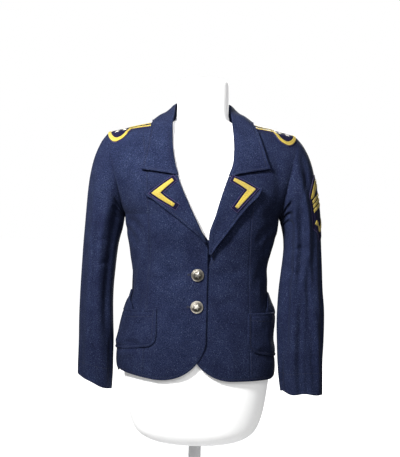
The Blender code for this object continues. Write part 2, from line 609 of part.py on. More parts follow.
def collar_half(side, at, shares):
    """Rows of the collar from its front end (0) to the centre back (1): stand, fold and fall."""
    sign = side_sign(side)
    edges = COLLAR_EDGE_RIGHT if side == "right" else COLLAR_EDGE_LEFT
    stations = np.linspace(0, 1, len(edges))
    roll = ROLL_RIGHT if side == "right" else ROLL_LEFT
    front_heights = np.array(COLLAR_FRONT_HEIGHTS)
    roll_x = column(roll, 1, front_heights)
    section = {key: [] for key in ("base", "fold", "crest", "fall", "edge")}
    front_count = len(front_heights)
    for row, (edge_x, edge_height) in enumerate(edges):
        face = "front" if row < COLLAR_FRONT_ROWS else "back"
        edge, edge_normal = on_torso(side, face, max(edge_x, 1e-6), edge_height, COLLAR_LIFTS[row])
        if row < front_count:
            panel_edge = roll_x[row] + ROLL_RADIUS
            base, normal = on_torso(side, "front", panel_edge, front_heights[row], -WALL / 2)
            outward = unit(edge - base)
            fold = base + ROLL_RADIUS * (normal - outward)
            crest = base + 2.25 * ROLL_RADIUS * normal + COLLAR_TURN * outward
            base = base - 0.0006 * outward
            middle_x, middle_height = mix(roll_x[row], edge_x, 0.55), mix(front_heights[row], edge_height, 0.55)
            fall = on_torso(side, "front", middle_x, middle_height, 2.4 * ROLL_RADIUS)[0]
        else:
            fold_x, fold_y, fold_z, fall_x, fall_y, fall_z = COLLAR_SIDE[row - front_count]
            fold = np.array([sign * fold_x, fold_y, fold_z])
            fall = np.array([sign * fall_x, fall_y, fall_z])
            turn = np.arctan2(fold_y - COLLAR_CENTRE_Y, fold_x)
            neck_x = column(SHOULDER, 1, np.array(NECK_HEIGHT)) * np.cos(turn)
            base_y = torso_y(side, "back" if turn > 0 else "front", np.array(neck_x), np.array(NECK_HEIGHT))
            base = np.array([sign * neck_x, base_y + 0.0012 * np.sign(turn), NECK_HEIGHT + 0.0022])
            outward = unit((fall - fold) * (1, 1, 0.2))
            if row - front_count < len(COLLAR_SIDE_BASES):
                low = np.array(COLLAR_SIDE_BASES[row - front_count])
                edge_x = column(roll, 1, low) + ROLL_RADIUS
                base, normal = on_torso(side, "front", edge_x, low, -WALL / 2)
                base = base - 0.0012 * outward + 0.0008 * normal
            crest = fold + 0.0050 * outward + np.array([0, 0, 0.0006])
        for key, point in zip(section, (base, fold, crest, fall, edge)):
            section[key].append(point)
    keys = np.array([0.0, 0.22, 0.32, 0.66, 1.0])
    lines = np.stack([curve_through(stations, np.array(section[key]), at) for key in section])
    rows = curve_through(keys, lines, shares)
    return np.moveaxis(rows, 0, 1)


def grid_normal(points, outward):
    """Normals of a grid of points, on the side that outward points to."""
    along, across = np.gradient(points, axis=0), np.gradient(points, axis=1)
    normal = unit(np.cross(along, across))
    return normal * np.sign((normal * outward).sum())


def make_collar():
    at = np.linspace(0, 1, 15)
    right, left = collar_half("right", at, COLLAR_SHARES), collar_half("left", at, COLLAR_SHARES)
    points = np.concatenate([right, left[-2::-1]])
    leaf("collar", points, grid_normal(points, points - np.array(CHEST_CENTRE)))


def strip_frame(path, half_width):
    """Offsets to the two sides of a path in the plane, mitred at its corners."""
    ahead = unit(np.diff(path, axis=0))
    ahead = np.concatenate([ahead[:1], ahead, ahead[-1:]])
    square = np.stack([-ahead[:, 1], ahead[:, 0]], axis=1)
    mitre = unit(square[:-1] + square[1:])
    return mitre * half_width / (mitre * square[1:]).sum(axis=1, keepdims=True)


def finer(path, count):
    """The path's straight runs, each cut into count parts."""
    parts = [mix(first, second, np.linspace(0, 1, count, endpoint=False)[:, None])
             for first, second in zip(path[:-1], path[1:])]
    return np.concatenate([*parts, path[-1:]])


def lapel_lift_at(side, x, height):
    """Lift over the torso of the lapel's middle surface at a place on it."""
    at = np.linspace(0, 1, 61)
    roll_x, roll_height, outer_x, outer_height = lapel_rows(side, at)
    start_x = roll_x + 2 * ROLL_RADIUS
    span_x, span_height = outer_x - start_x, outer_height - roll_height
    out_x, up = x[..., None] - start_x, height[..., None] - roll_height
    share = (out_x * span_x + up * span_height) / (span_x**2 + span_height**2)
    miss = (out_x - share * span_x) ** 2 + (up - share * span_height) ** 2
    share = np.take_along_axis(share, miss.argmin(axis=-1)[..., None], axis=-1)[..., 0]
    return lapel_rise(LAPEL_LIFT_RIGHT if side == "right" else LAPEL_LIFT_LEFT, share)


def make_chevron(side):
    path = CHEVRON_RIGHT * (-1, 1) if side == "right" else CHEVRON_LEFT
    path = finer(path, 4)
    from_tip = np.abs(np.linspace(-1, 1, len(path)))[:, None]
    offset = strip_frame(path, mix(CHEVRON_TIP_HALF_WIDTH, CHEVRON_END_HALF_WIDTH, from_tip))
    plan = path[:, None] + offset[:, None] * np.linspace(-1, 1, 3)[None, :, None]
    x, height = plan[..., 0], plan[..., 1]
    lift = lapel_lift_at(side, x, height) + lap(side, x, height) + WALL / 2 + 3 * SEAM
    inner, normal = on_torso(side, "front", x, height, lift)
    wall(f"lapel_chevron_{side}", inner + PATCH_THICKNESS * normal, inner, GOLD)


def make_pocket(side):
    """A patch pocket: flat to the panel along its inner edge and bottom, out to the side seam at its mouth."""
    size = POCKETS[side]
    shares = np.linspace(0, 1, 10)[None, :]
    up = np.linspace(0, 1, 9)[:, None]
    height = mix(np.full_like(shares, 0.36), 0.36, up)
    for _ in range(12):
        half_width = torso_half_width(side, "front", height)
        x = around(size["inner"] + 0 * height, half_width, shares)
        reach = (x - size["inner"]) / (half_width - size["inner"])
        across = np.clip((x - size["inner"]) / size["corner"], 0, 1)
        round_off = size["corner"] * (1 - np.sqrt(1 - (1 - across) ** 2))
        low = mix(*size["bottom"], reach) + round_off
        height = mix(low, mix(*size["mouth"], reach), up)
    stand = GAPE[side] * smooth_step(0.25, 1.0, up) * np.sin(np.pi / 2 * shares)
    own_gape = gape(side, x, torso_y(side, "front", x, height), height)
    loose = POCKET_SLACK * np.clip(up * 5, 0, 1)
    lift = 2 * SEAM + WALL + np.maximum(stand, own_gape + loose) - own_gape
    outer, normal = on_torso(side, "front", x, height, lift)
    outer[..., 1] -= SEAM / 2
    wall(f"pocket_{side}", outer, outer - WALL * normal)


def shoulder_top(side, x, y, lift):
    """Points above the plan place x, y on the shoulder, and the directions out of it."""
    forward = LOBE_FORWARD + STRAP_FORWARD * np.clip((LOBE_CENTRE - x) / (LOBE_CENTRE - STRAP_START), 0, 1)
    signed, y = x * side_sign(side), y - forward
    low, high = np.full_like(x, ARMPIT_HEIGHT), np.full_like(x, TORSO[-1, 0])
    for _ in range(30):
        middle = (low + high) / 2
        full = [filling(side, face, signed, y, middle) for face in ("front", "back")]
        inside = np.where(y < 0, *full) < 1
        low, high = np.where(inside, middle, low), np.where(inside, high, middle)
    front, back = torso_normal(side, "front", signed, y, low), torso_normal(side, "back", signed, y, low)
    normal = np.where((y < 0)[..., None], front, back)
    return np.stack([signed, y, low], axis=-1) + normal * lift, normal


def epaulette_half_width(x):
    bulge = np.sqrt(np.clip(1 - ((x - LOBE_CENTRE) / LOBE_LENGTH) ** 2, 0, 1)) * LOBE_HALF_WIDTH
    return np.maximum(bulge, np.where(x < LOBE_CENTRE, STRAP_HALF_WIDTH, LOBE_END_HALF_WIDTH))


def make_epaulette(side):
    strap = np.linspace(STRAP_START, LOBE_CENTRE - LOBE_LENGTH, 6)[:-1]
    lobe = LOBE_CENTRE - LOBE_LENGTH * np.cos(np.linspace(0.12, np.pi - 0.05, 11))
    x = np.concatenate([strap, lobe])[:, None]
    y = epaulette_half_width(x) * np.array([-1, -0.78, -0.54, -0.26, 0.10, 0.55, 1])
    inner, normal = shoulder_top(side, x + 0 * y, y, EPAULETTE_LIFT)
    wall(f"epaulette_{side}", inner + EPAULETTE_THICKNESS * normal, inner)


def braid_path():
    """In plan: out along the strap's front edge, round the lobe and back along the other edge."""
    inset = BRAID_WIDTH / 2 + BRAID_INSET
    half_width = LOBE_HALF_WIDTH - inset
    start = np.arcsin((STRAP_HALF_WIDTH - inset) / half_width)
    turn = np.linspace(np.pi - start, -np.pi + start, 27)
    x = LOBE_CENTRE + (LOBE_LENGTH - inset) * np.cos(turn)
    lobe = np.stack([x, -half_width * np.sin(turn)], axis=1)
    first = np.array([[STRAP_START, lobe[0, 1]], [(STRAP_START + lobe[0, 0]) / 2, lobe[0, 1]]])
    return np.concatenate([first, lobe, first[::-1] * (1, -1)])


def make_braid(side):
    path = braid_path()
    offset = strip_frame(path, BRAID_WIDTH / 2)
    plan = path[:, None] + offset[:, None] * np.linspace(-1, 1, 3)[None, :, None]
    inner, normal = shoulder_top(side, plan[..., 0], plan[..., 1], EPAULETTE_LIFT + 2.2 * SEAM + EPAULETTE_THICKNESS)
    wall(f"epaulette_braid_{side}", inner + BRAID_THICKNESS * normal, inner, GOLD)


def make_badge():
    """The badge on the wearer's left sleeve: a shield, pointed below and arched above."""
    rows, columns = 13, 9
    up = np.linspace(0, 1, rows)[:, None]
    across = np.linspace(-1, 1, columns)[None, :]
    start, end = BADGE_SPAN
    top = start + BADGE_ARCH * across**2
    bottom = end - BADGE_TIP * np.abs(across)
    share = mix(top, bottom, up)
    middle, half = sum(BADGE_ANGLES) / 2, (BADGE_ANGLES[1] - BADGE_ANGLES[0]) / 2
    angle = middle + half * across + 0 * up
    normal = sleeve_normal("left", angle, share)
    inner = sleeve_point("left", angle, share) + BADGE_LIFT * normal
    wall("sleeve_badge", inner + PATCH_THICKNESS * normal, inner, GOLD)


def turned(name, profile, colour, roughness, metallic, steps=32):
    """A profile of radius and height, top to bottom, turned about Z."""
    mesh = bpy.data.meshes.new(name)
    points = [(radius, 0, height) for radius, height in profile]
    mesh.from_pydata(points, [(i, i + 1) for i in range(len(points) - 1)], [])
    new = add_object(name, mesh, colour, roughness, metallic)
    screw = new.modifiers.new("Screw", "SCREW")
    screw.steps = screw.render_steps = steps
    screw.use_merge_vertices = True
    screw.merge_threshold = 0.00001
    return new


def make_button(name, height):
    """A domed metal button with a rim, its back just clear of the cloth."""
    profile = [(0, 0.0052), (0.0045, 0.0050), (0.0080, 0.0042), (0.0100, 0.0032), (0.0106, 0.0036),
               (BUTTON_RADIUS, 0.0030), (BUTTON_RADIUS, 0.0016), (0.0110, 0.0008), (0.0040, 0.0006),
               (0.0036, 0), (0, 0)]
    button = turned(name, profile, SILVER, 0.35, 0.9, 20)
    lift = LAP_LIFT + 3 * SEAM
    point, normal = on_torso("right", "front", -BUTTON_X, height, lift)
    x_axis = unit(np.cross((0, 0, 1), normal))
    y_axis = np.cross(normal, x_axis)
    axes = np.stack([x_axis, y_axis, normal, point], axis=1)
    button.matrix_world = Matrix([*axes.tolist(), [0, 0, 0, 1]])


def make_form(sides=28):
    """The limbless body of the dress form, lofted through its level sections."""
    turn = np.linspace(0, 2 * np.pi, sides, endpoint=False)
    height, half_width, front, back = (value[:, None] for value in FORM.T)
    depth = np.where(np.sin(turn) < 0, front, back)
    power = 2 / SQUARENESS
    x = half_width * np.sign(np.cos(turn)) * np.abs(np.cos(turn)) ** power
    y = depth * np.sign(np.sin(turn)) * np.abs(np.sin(turn)) ** power
    points = np.stack([x, y, height + 0 * x], axis=-1)
    faces = grid_faces(len(FORM), sides, 0, True)
    faces += [tuple(range(sides))[::-1], tuple(range(len(FORM) * sides - sides, len(FORM) * sides))]
    mesh_object("form_body", points.reshape(-1, 3), faces, PAINT_WHITE, 0.6)


def make_stand():
    top = BASE_THICKNESS + SEAM
    profile = [(0, BASE_THICKNESS), (BASE_RADIUS - BASE_BEVEL, BASE_THICKNESS),
               (BASE_RADIUS, BASE_THICKNESS - BASE_BEVEL), (BASE_RADIUS, 0), (0, 0)]
    turned("form_base", profile, STEEL_WHITE, 0.35, 0.3, 40)
    pole = [(0, FORM_BOTTOM - SEAM), (POLE_RADIUS, FORM_BOTTOM - SEAM), (POLE_RADIUS, top + 0.020),
            (0.022, top + 0.014), (0.028, top + 0.004), (0.030, top), (0, top)]
    turned("form_pole", pole, STEEL_WHITE, 0.3, 0.8, 24)


def clear_scene():
    for old in list(bpy.data.objects):
        bpy.data.objects.remove(old)
    collection = bpy.data.collections.new(COLLECTION)
    bpy.context.scene.collection.children.link(collection)


def main():
    clear_scene()
    make_form()
    make_stand()
    make_fronts()
    make_back()
    make_collar()
    for side in ("right", "left"):
        make_sleeve(side)
        make_lapel(side)
        make_chevron(side)
        make_pocket(side)
        make_epaulette(side)
        make_braid(side)
    make_badge()
    for name, height in BUTTON_HEIGHTS.items():
        make_button(name, height)


main()
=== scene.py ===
# %% [markdown]
# # A military-style blazer on a dress form
#
# The solids of this part are already packed: a navy jersey blazer on a white limbless form. This lesson dresses
# them. Each solid is replaced by a finer piece on the same surface: thin shells for the cloth, with the creases,
# seams, stitching and gold work that the photograph shows, and smoother buttons, form and stand.
#
# Everything is in metres, +Z is up, the front faces -Y, and the wearer's right is at -X. The long tables are
# written in millimetres and divided by a thousand.

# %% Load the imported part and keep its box
import json
import math

import bpy
import numpy as np
from mathutils import Matrix, Vector

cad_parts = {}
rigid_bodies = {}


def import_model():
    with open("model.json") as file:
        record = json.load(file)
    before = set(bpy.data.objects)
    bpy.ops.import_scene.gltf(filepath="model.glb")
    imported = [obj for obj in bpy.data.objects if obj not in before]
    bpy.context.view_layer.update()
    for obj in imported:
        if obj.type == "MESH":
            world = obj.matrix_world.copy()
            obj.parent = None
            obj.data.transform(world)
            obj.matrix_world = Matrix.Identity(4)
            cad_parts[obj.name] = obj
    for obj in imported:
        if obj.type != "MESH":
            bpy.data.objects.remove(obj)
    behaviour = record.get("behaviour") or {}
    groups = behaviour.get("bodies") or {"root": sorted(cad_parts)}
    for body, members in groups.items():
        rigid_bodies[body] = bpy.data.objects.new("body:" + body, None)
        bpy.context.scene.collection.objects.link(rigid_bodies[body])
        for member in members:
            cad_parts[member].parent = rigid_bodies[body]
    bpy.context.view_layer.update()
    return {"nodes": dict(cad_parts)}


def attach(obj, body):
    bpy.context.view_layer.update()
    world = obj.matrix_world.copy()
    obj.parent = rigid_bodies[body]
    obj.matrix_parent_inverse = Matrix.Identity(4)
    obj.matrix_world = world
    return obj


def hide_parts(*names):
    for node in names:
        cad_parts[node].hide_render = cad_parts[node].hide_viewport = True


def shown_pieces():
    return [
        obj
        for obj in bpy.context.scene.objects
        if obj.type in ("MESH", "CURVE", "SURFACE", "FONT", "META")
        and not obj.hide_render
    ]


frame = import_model()
print("nodes:", ", ".join(sorted(frame["nodes"])))

# %% [markdown]
# ## The sizes that the whole garment shares
#
# A tailor works from a block: half widths and depths at each height. The same block is used here, so that the
# fine cloth lies exactly where the solids are. A superellipse (a softened box) is the level section of a body in
# a jacket, because an ellipse would be too thin at the corners of the chest.

# %% Cloth sizes and the block of the body
WALL = 0.0018
SEAM = 0.0003
SQUARENESS = 2.2
ARMPIT_HEIGHT, ARMHOLE_HALF_DEPTH = 0.580, 0.070
NECK_HEIGHT = 0.768
ROLL_RADIUS = 0.0022
LAP_LIFT = 0.0027
CORNER_CENTRE, CORNER_RADII, CORNER_TOP = (0.070, 0.345), (0.0866, 0.0826), 0.372
SIDES = ("right", "left")

# height, half width on the wearer's right, on the left, depth of the front, of the back
TORSO = np.array([
    (250, 152, 150, 112, 118), (270, 158, 155, 112, 118), (290, 161, 156, 112, 117), (310, 161, 154, 111, 116),
    (332, 159, 150.5, 109, 113), (356, 151, 146.5, 107, 109), (380, 141.5, 142.5, 104, 104),
    (404, 135, 139.5, 101, 99), (428, 133.5, 138.5, 99, 94), (452, 133.5, 137.5, 98, 91),
    (476, 134, 136, 99, 89), (500, 138, 140, 102, 89), (524, 142, 147, 108, 92), (548, 146.5, 153.5, 115, 97),
    (580, 150, 157, 121, 103), (612, 152, 159, 123, 107), (640, 154, 161, 119, 109), (665, 156, 163, 113, 108),
    (690, 160, 166, 104, 104), (712, 165, 170, 93, 98), (730, 170, 175, 81, 90), (745, 170, 175, 70, 80),
    (760, 170, 175, 60, 69), (772, 170, 175, 54, 61),
]) / 1000

# height, distance of the shoulder seam from the centre
SHOULDER = np.array([(739.5, 189), (744, 172), (748.5, 154), (761, 100), (768, 68), (772, 52)]) / 1000

# height, distance of the princess seam from the centre
PRINCESS = np.array([(250, 105), (400, 99), (530, 97), (600, 99.5), (656, 103), (700, 108), (760, 118)]) / 1000

# height, distance of the roll line from the centre (negative is past the centre)
ROLL = {
    "right": np.array([
        (526, -14.1), (541, -7), (556, 0), (601, 22.1), (646.7, 42), (662, 46.7), (695.5, 55.2), (730, 58.5),
        (750, 60), (768, 66),
    ]) / 1000,
    "left": np.array([
        (495, 18.6), (520, 18.6), (547, 19), (581.5, 30), (623.7, 42.1), (651, 51.2), (678, 61), (708, 63.5),
        (737, 62), (752, 61.2), (768, 66),
    ]) / 1000,
}

# height, distance of the front's own edge from the centre, below and behind the roll
EDGE = {
    "right": np.array([(250, -16.6), (515, -16.6), (529, -10.5), (545, -3)]) / 1000,
    "left": np.array([(250, -16.6), (461, -16.6), (490.5, 21.8), (528, 21.8)]) / 1000,
}

# distance from the centre, height of the hem
HEM = {
    "right": np.array([(-20, 262.5), (80, 262.5), (110, 266.5), (141, 272), (165, 279)]) / 1000,
    "left": np.array([(-20, 261.5), (100, 261), (129, 260), (148, 263), (160, 269)]) / 1000,
}
BACK_HEM = 0.268

# inner x, inner z, outer x, outer z, centre y, half depth, down the sleeve
SLEEVE = {
    "right": np.array([
        (150, 580, 189, 739.5, 0, 70), (150.5, 574.5, 199.5, 726, -1, 71.5), (151.2, 569, 209, 706, -2, 71.5),
        (152.2, 563, 216, 684, -3, 70), (153.5, 556, 221, 658, -4, 67), (155.2, 548, 224.5, 629, -5, 63),
        (158, 537, 227, 596, -7, 59), (161, 521, 229.5, 560, -9, 56), (163.5, 498, 232, 520, -11, 53.5),
        (166, 470, 233.5, 480, -13, 51), (168.5, 438, 234.5, 440, -16, 49), (169, 405, 235, 403, -19, 47),
        (167.5, 370, 235, 370, -23, 45), (165.5, 335, 234.5, 337, -26, 43), (165, 300, 234.5, 308, -29, 41.5),
        (165, 268, 234.5, 285, -31, 40.5), (166.5, 235, 234, 264, -32, 40),
    ]) / 1000,
    "left": np.array([
        (157, 580, 189, 739.5, 0, 70), (158, 574.5, 201, 726, -1, 71.5), (159.7, 569, 212.5, 706, -2, 71.5),
        (162, 562, 220.5, 684, -3, 70), (164, 554, 226.5, 658, -4, 67), (165.8, 545, 232, 629, -5, 62),
        (166.8, 533, 237, 596, -7, 57), (166.8, 517, 240, 560, -9, 53), (165, 497, 242.5, 520, -12, 50),
        (162, 470, 244.5, 480, -15, 47.5), (159, 440, 246, 440, -19, 45), (157, 408, 249, 403, -24, 42.5),
        (156, 372, 249.5, 368, -29, 40), (157, 335, 249, 334, -32, 38), (158.5, 300, 248, 302, -33, 37),
        (161.5, 268, 248.5, 270, -33, 36.5), (166, 238.5, 249, 233.5, -33, 36),
    ]) / 1000,
}

# %% [markdown]
# ## Small helpers for smooth tables
#
# A table gives a few stations; the cloth between them has to be smooth. A cubic between each two stations, whose
# slopes come from the neighbours, passes through every station without the waves that one high polynomial has.

# %% Curves, mixes and steps


def curve_through(stations, values, at):
    """The smooth curve through a table's values: a cubic between each two stations, held flat past the ends."""
    at = np.clip(at, stations[0], stations[-1])
    slopes = np.gradient(values, stations, axis=0)
    low = np.clip(np.searchsorted(stations, at, side="right") - 1, 0, len(stations) - 2)
    spare = (1,) * (values.ndim - 1)
    step = stations[low + 1] - stations[low]
    share = (at - stations[low]) / step
    step, share = step.reshape(step.shape + spare), share.reshape(share.shape + spare)
    rise, fall = share * share * (3 - 2 * share), (1 - share) ** 2 * (1 + 2 * share)
    start, end = share * (1 - share) ** 2, share * share * (share - 1)
    ends = values[low] * fall + values[low + 1] * rise
    return ends + step * (slopes[low] * start + slopes[low + 1] * end)


def column(table, number, at):
    return curve_through(table[:, 0], table[:, number], np.asarray(at, float))


def mix(first, second, share):
    return first + (second - first) * share


def smooth_step(low, high, value):
    share = np.clip((value - low) / (high - low), 0, 1)
    return share * share * (3 - 2 * share)


def unit(vectors):
    return vectors / np.maximum(np.linalg.norm(vectors, axis=-1, keepdims=True), 1e-12)


def side_sign(side):
    return -1.0 if side == "right" else 1.0


def edge_steps(inner, lead):
    """Shares from 0 to 1 with two short steps at each end, where the cloth's edge is rounded."""
    ends = np.array([0, lead, 2.4 * lead])
    return np.concatenate([ends, mix(2.4 * lead, 1 - 2.4 * lead, inner[1:-1]), 1 - ends[::-1]])


def spread(count, lead):
    """Even shares from 0 to 1 with the short steps of an edge at both ends."""
    return edge_steps(np.linspace(0, 1, count), lead)


print("a seam's gap is", SEAM * 1000, "mm and the cloth is", WALL * 1000, "mm thick")

# %% [markdown]
# ## Creases
#
# Jersey on a form shows few folds, and each has a cause: it is drawn to the waist button, squeezed under the
# arm, or pulled by a pocket. They are listed one by one. Each is a soft trough or ridge along a line, deepest in
# the middle and fading at its ends. A faint unevenness lies over the whole cloth: no steamed jersey is truly
# flat.

# %% The creases of the body
# distance from the centre and height of both ends, then bow, half width and depth (a trough's is negative)
BODY_CREASES = {
    ("right", "front"): np.array([
        (98, 520, 124, 392, 4, 6, -2.4), (108, 515, 134, 398, 4, 7, 1.8), (140, 572, 112, 540, 3, 6, -2.8),
        (146, 556, 124, 520, 3, 5.5, -2), (20, 470, 88, 486, 6, 10, -1.4), (24, 458, 94, 450, -4, 9, -1.3),
        (20, 404, 76, 416, 4, 9, -1.2), (156, 318, 112, 330, 4, 6, -3.4), (155, 300, 120, 311, 4, 7.5, 1.8),
        (128, 470, 132, 412, -2, 6, -2.6), (140, 690, 146, 600, -4, 8, -2), (118, 660, 124, 580, 4, 11, 1.6),
        (40, 350, 52, 272, 6, 13, 1.4), (86, 312, 92, 266, -3, 12, -1.4),
    ]) / 1000,
    ("left", "front"): np.array([
        (146, 566, 112, 528, 4, 6.5, -3), (150, 545, 126, 510, 3, 5.5, -2), (132, 500, 112, 440, 3, 7.5, -1.8),
        (122, 470, 134, 405, -3, 6, -2.6), (26, 468, 86, 478, 5, 9.5, -1.3), (30, 405, 84, 424, 4, 10, -1.3),
        (150, 300, 118, 322, 3, 7, -2.4), (64, 340, 76, 266, 5, 13, 1.4), (142, 700, 150, 606, -4, 8, -1.8),
        (116, 640, 122, 560, 4, 12, 1.5),
    ]) / 1000,
    ("right", "back"): np.array([
        (142, 566, 92, 522, 5, 7.5, -3.2), (138, 530, 96, 498, 4, 7, -2.2), (110, 462, 40, 446, 5, 9, -2.6),
        (100, 432, 30, 428, -4, 10, -2), (120, 700, 112, 600, 5, 11, -2.2), (70, 352, 82, 272, 4, 14, 2.2),
        (20, 640, 30, 540, 4, 12, -1.6), (128, 478, 60, 470, -6, 7, -2.4), (126, 402, 70, 400, 4, 8, -1.8),
    ]) / 1000,
    ("left", "back"): np.array([
        (148, 560, 100, 516, 5, 7.5, -3), (136, 520, 90, 488, 4, 7, -2.4), (112, 456, 34, 462, -5, 9, -2.4),
        (96, 426, 24, 420, 4, 10.5, -2), (124, 690, 114, 590, 5, 11, -2.2), (52, 348, 60, 272, -4, 14, 2),
        (34, 660, 26, 545, -4, 12, -1.4), (130, 474, 66, 478, 6, 7, -2.2), (122, 398, 78, 404, -4, 8, -1.8),
    ]) / 1000,
}
# how much deeper the creases are made, the depth that no trough passes, and the heights over which they end
CREASE_DEPTH, DEEPEST, CREASES_END = {"front": 1.8, "back": 2.2}, 0.0034, (0.705, 0.735)
# shares of a crease's length over which it comes and goes
CREASE_START, CREASE_FINISH = (-0.12, 0.25), (0.70, 1.12)


def along_line(x, height, x_0, z_0, x_1, z_1, bow, half_width):
    """How much of a crease is at each place: a bell across the bowed line times a soft fade at both ends."""
    run = np.hypot(x_1 - x_0, z_1 - z_0)
    ahead = ((x - x_0) * (x_1 - x_0) + (height - z_0) * (z_1 - z_0)) / run**2
    aside = ((x - x_0) * (z_1 - z_0) - (height - z_0) * (x_1 - x_0)) / run
    aside = aside - bow * np.sin(np.pi * np.clip(ahead, 0, 1))
    fade = smooth_step(*CREASE_START, ahead) * (1 - smooth_step(*CREASE_FINISH, ahead))
    return np.exp(-((aside / half_width) ** 2)) * fade


def unevenness(x, y, height):
    """Three slow waves that never quite repeat, about half a millimetre high in all."""
    return (0.00030 * np.sin(61 * x + 23 * height + 1.3) * np.cos(37 * height - 19 * y)
            + 0.00022 * np.sin(97 * height + 43 * x + 0.4) * np.cos(71 * x + 29 * y)
            + 0.00012 * np.sin(170 * x - 120 * height + 2.1))


def body_creases(side, face, x, y, height):
    """All creases of a face and its unevenness added up, with a soft limit to the troughs."""
    total = unevenness(x * side_sign(side), y, height)
    for *line, depth in BODY_CREASES[side, face]:
        total = total + CREASE_DEPTH[face] * depth * along_line(x, height, *line)
    pressed = -DEEPEST * np.tanh(np.maximum(-total, 0) / DEEPEST)
    return np.where(total < 0, pressed, total) * (1 - smooth_step(*CREASES_END, height))


print(sum(map(len, BODY_CREASES.values())), "creases on the body")

# %% [markdown]
# ## The surface of the body
#
# One function gives the outer face of the cloth at any distance from the centre and height, and the direction
# that points out of it. All that lies on the body (pockets, lapels, buttons, stitches) asks it for a place with
# some lift, so that nothing floats or sinks, whatever the creases do. The direction comes from the gradient of
# the same superellipse, which is exact and cheaper than reading it from a mesh.

# %% Points on the body's cloth
ROLL_PLACE, GROOVE_PLACE, ROLL_SPREAD, ROLL_HEIGHT, GROOVE_DEPTH = 0.0020, 0.0058, 0.0016, 0.0008, 0.0006
SIDE_GAPE = {"right": 0.0075, "left": 0.0100}
GAPE_HEIGHTS, GAPE_ANGLE = (0.332, 0.391, 0.434), 11.0


def armhole_x(side, height):
    inner_x, inner_z, outer_x, outer_z = SLEEVE[side][0, :4]
    return mix(inner_x, outer_x, (height - inner_z) / (outer_z - inner_z))


def torso_depth(face, height):
    return column(TORSO, 3 if face == "front" else 4, height)


def torso_half_width(side, face, height):
    """The side seam up to the armpit, the arm's root behind the armhole, then the slope of the shoulder."""
    flank = column(TORSO, 1 if side == "right" else 2, height)
    top = SLEEVE[side][0, 3]
    share = np.clip((height - ARMPIT_HEIGHT) / (top - ARMPIT_HEIGHT), 0, 1)
    half_depth = 2 * ARMHOLE_HALF_DEPTH * np.sqrt(share * (1 - share))
    filled = 1 - (half_depth / torso_depth(face, height)) ** SQUARENESS
    root = armhole_x(side, height) / filled ** (1 / SQUARENESS)
    slope = column(SHOULDER, 1, height)
    return np.where(height < ARMPIT_HEIGHT, flank, np.where(height < top, root, slope))


def filling(side, face, x, y, height):
    """Below 1 inside the body, 1 on its surface."""
    across = (np.abs(x) / torso_half_width(side, face, height)) ** SQUARENESS
    return across + (np.abs(y) / torso_depth(face, height)) ** SQUARENESS


def torso_y(side, face, x, height):
    room = np.clip(1 - (np.abs(x) / torso_half_width(side, face, height)) ** SQUARENESS, 0, 1)
    return torso_depth(face, height) * room ** (1 / SQUARENESS) * (-1 if face == "front" else 1)


def torso_normal(side, face, x, y, height):
    """The gradient of the filling, which points straight out of the cloth."""
    step = 2e-4
    half_width, depth = torso_half_width(side, face, height), torso_depth(face, height)
    power = SQUARENESS - 1
    across = np.sign(x) * np.abs(x) ** power / half_width**SQUARENESS
    deep = np.sign(y) * np.abs(y) ** power / depth**SQUARENESS
    rise = filling(side, face, x, y, height + step) - filling(side, face, x, y, height - step)
    return unit(np.stack([across, deep, rise / (2 * step * SQUARENESS)], axis=-1))


def seamed_edge(distance):
    """A pressed edge's relief by distance from the edge: a full seam roll, then the groove of its stitching."""
    roll, groove = (np.exp(-(((distance - place) / ROLL_SPREAD) ** 2)) for place in (ROLL_PLACE, GROOVE_PLACE))
    return ROLL_HEIGHT * roll - GROOVE_DEPTH * groove


def gape(side, x, y, height):
    """How far the side seam stands out where the pocket's mouth pulls it."""
    angle = np.degrees(np.arctan2(np.abs(y), np.abs(x)))
    low, middle, high = GAPE_HEIGHTS
    window = smooth_step(low, middle, height) * (1 - smooth_step(middle, high, height))
    return SIDE_GAPE[side] * window * np.exp(-((angle / GAPE_ANGLE) ** 2))


def on_torso(side, face, x, height, lift=0.0):
    """Points on the cloth's outer face, moved out by lift, and the directions that point out of it."""
    x, height = np.broadcast_arrays(np.asarray(x, float), np.asarray(height, float))
    signed = x * side_sign(side)
    y = torso_y(side, face, signed, height)
    normal = torso_normal(side, face, signed, y, height)
    out = gape(side, signed, y, height) + body_creases(side, face, x, y, height) + lift
    return np.stack([signed, y, height], axis=-1) + normal * np.asarray(out)[..., None], normal


def grid_normal(points, outward):
    """Directions across a grid of points, on the side that outward points to."""
    along, across = np.gradient(points, axis=0), np.gradient(points, axis=1)
    normal = unit(np.cross(along, across))
    return normal * np.sign((normal * outward).sum())


chest, _ = on_torso("right", "front", 0.10, 0.612)
print("the chest's surface at a princess seam:", chest.round(4))

# %% [markdown]
# ## Shells from grids
#
# Cloth has two faces and a soft edge. A grid of points on its middle and a thickness at each point give both
# faces at once, and the thickness shrinks over the last two steps before an edge, which rounds it like a turned
# seam. `foreach_set` writes whole arrays into the mesh, so even a large grid takes no loop over its points. The
# map (UV) is in metres along the cloth, so a knit keeps its size on every piece.

# %% Quads of grids, tubes and fans
def grid_quads(rows, columns, closed=False):
    """The corners of every cell of a grid (low left, low right, high right, high left), row after row."""
    left = np.arange(columns if closed else columns - 1)
    right = (left + 1) % columns
    base = columns * np.arange(rows - 1)[:, None]
    low_left, low_right = base + left, base + right
    return np.stack([low_left, low_right, low_right + columns, low_left + columns], -1).reshape(-1, 4)


def barrel_quads(rows, sides):
    """Quads of a body through rings of an even count of sides, with a flat fan of quads at both ends."""
    fan = np.array([[0, low, low + 1, low + 2] for low in range(1, sides - 2, 2)])
    return np.concatenate([grid_quads(rows, sides, True), fan[:, ::-1], fan + (rows - 1) * sides])


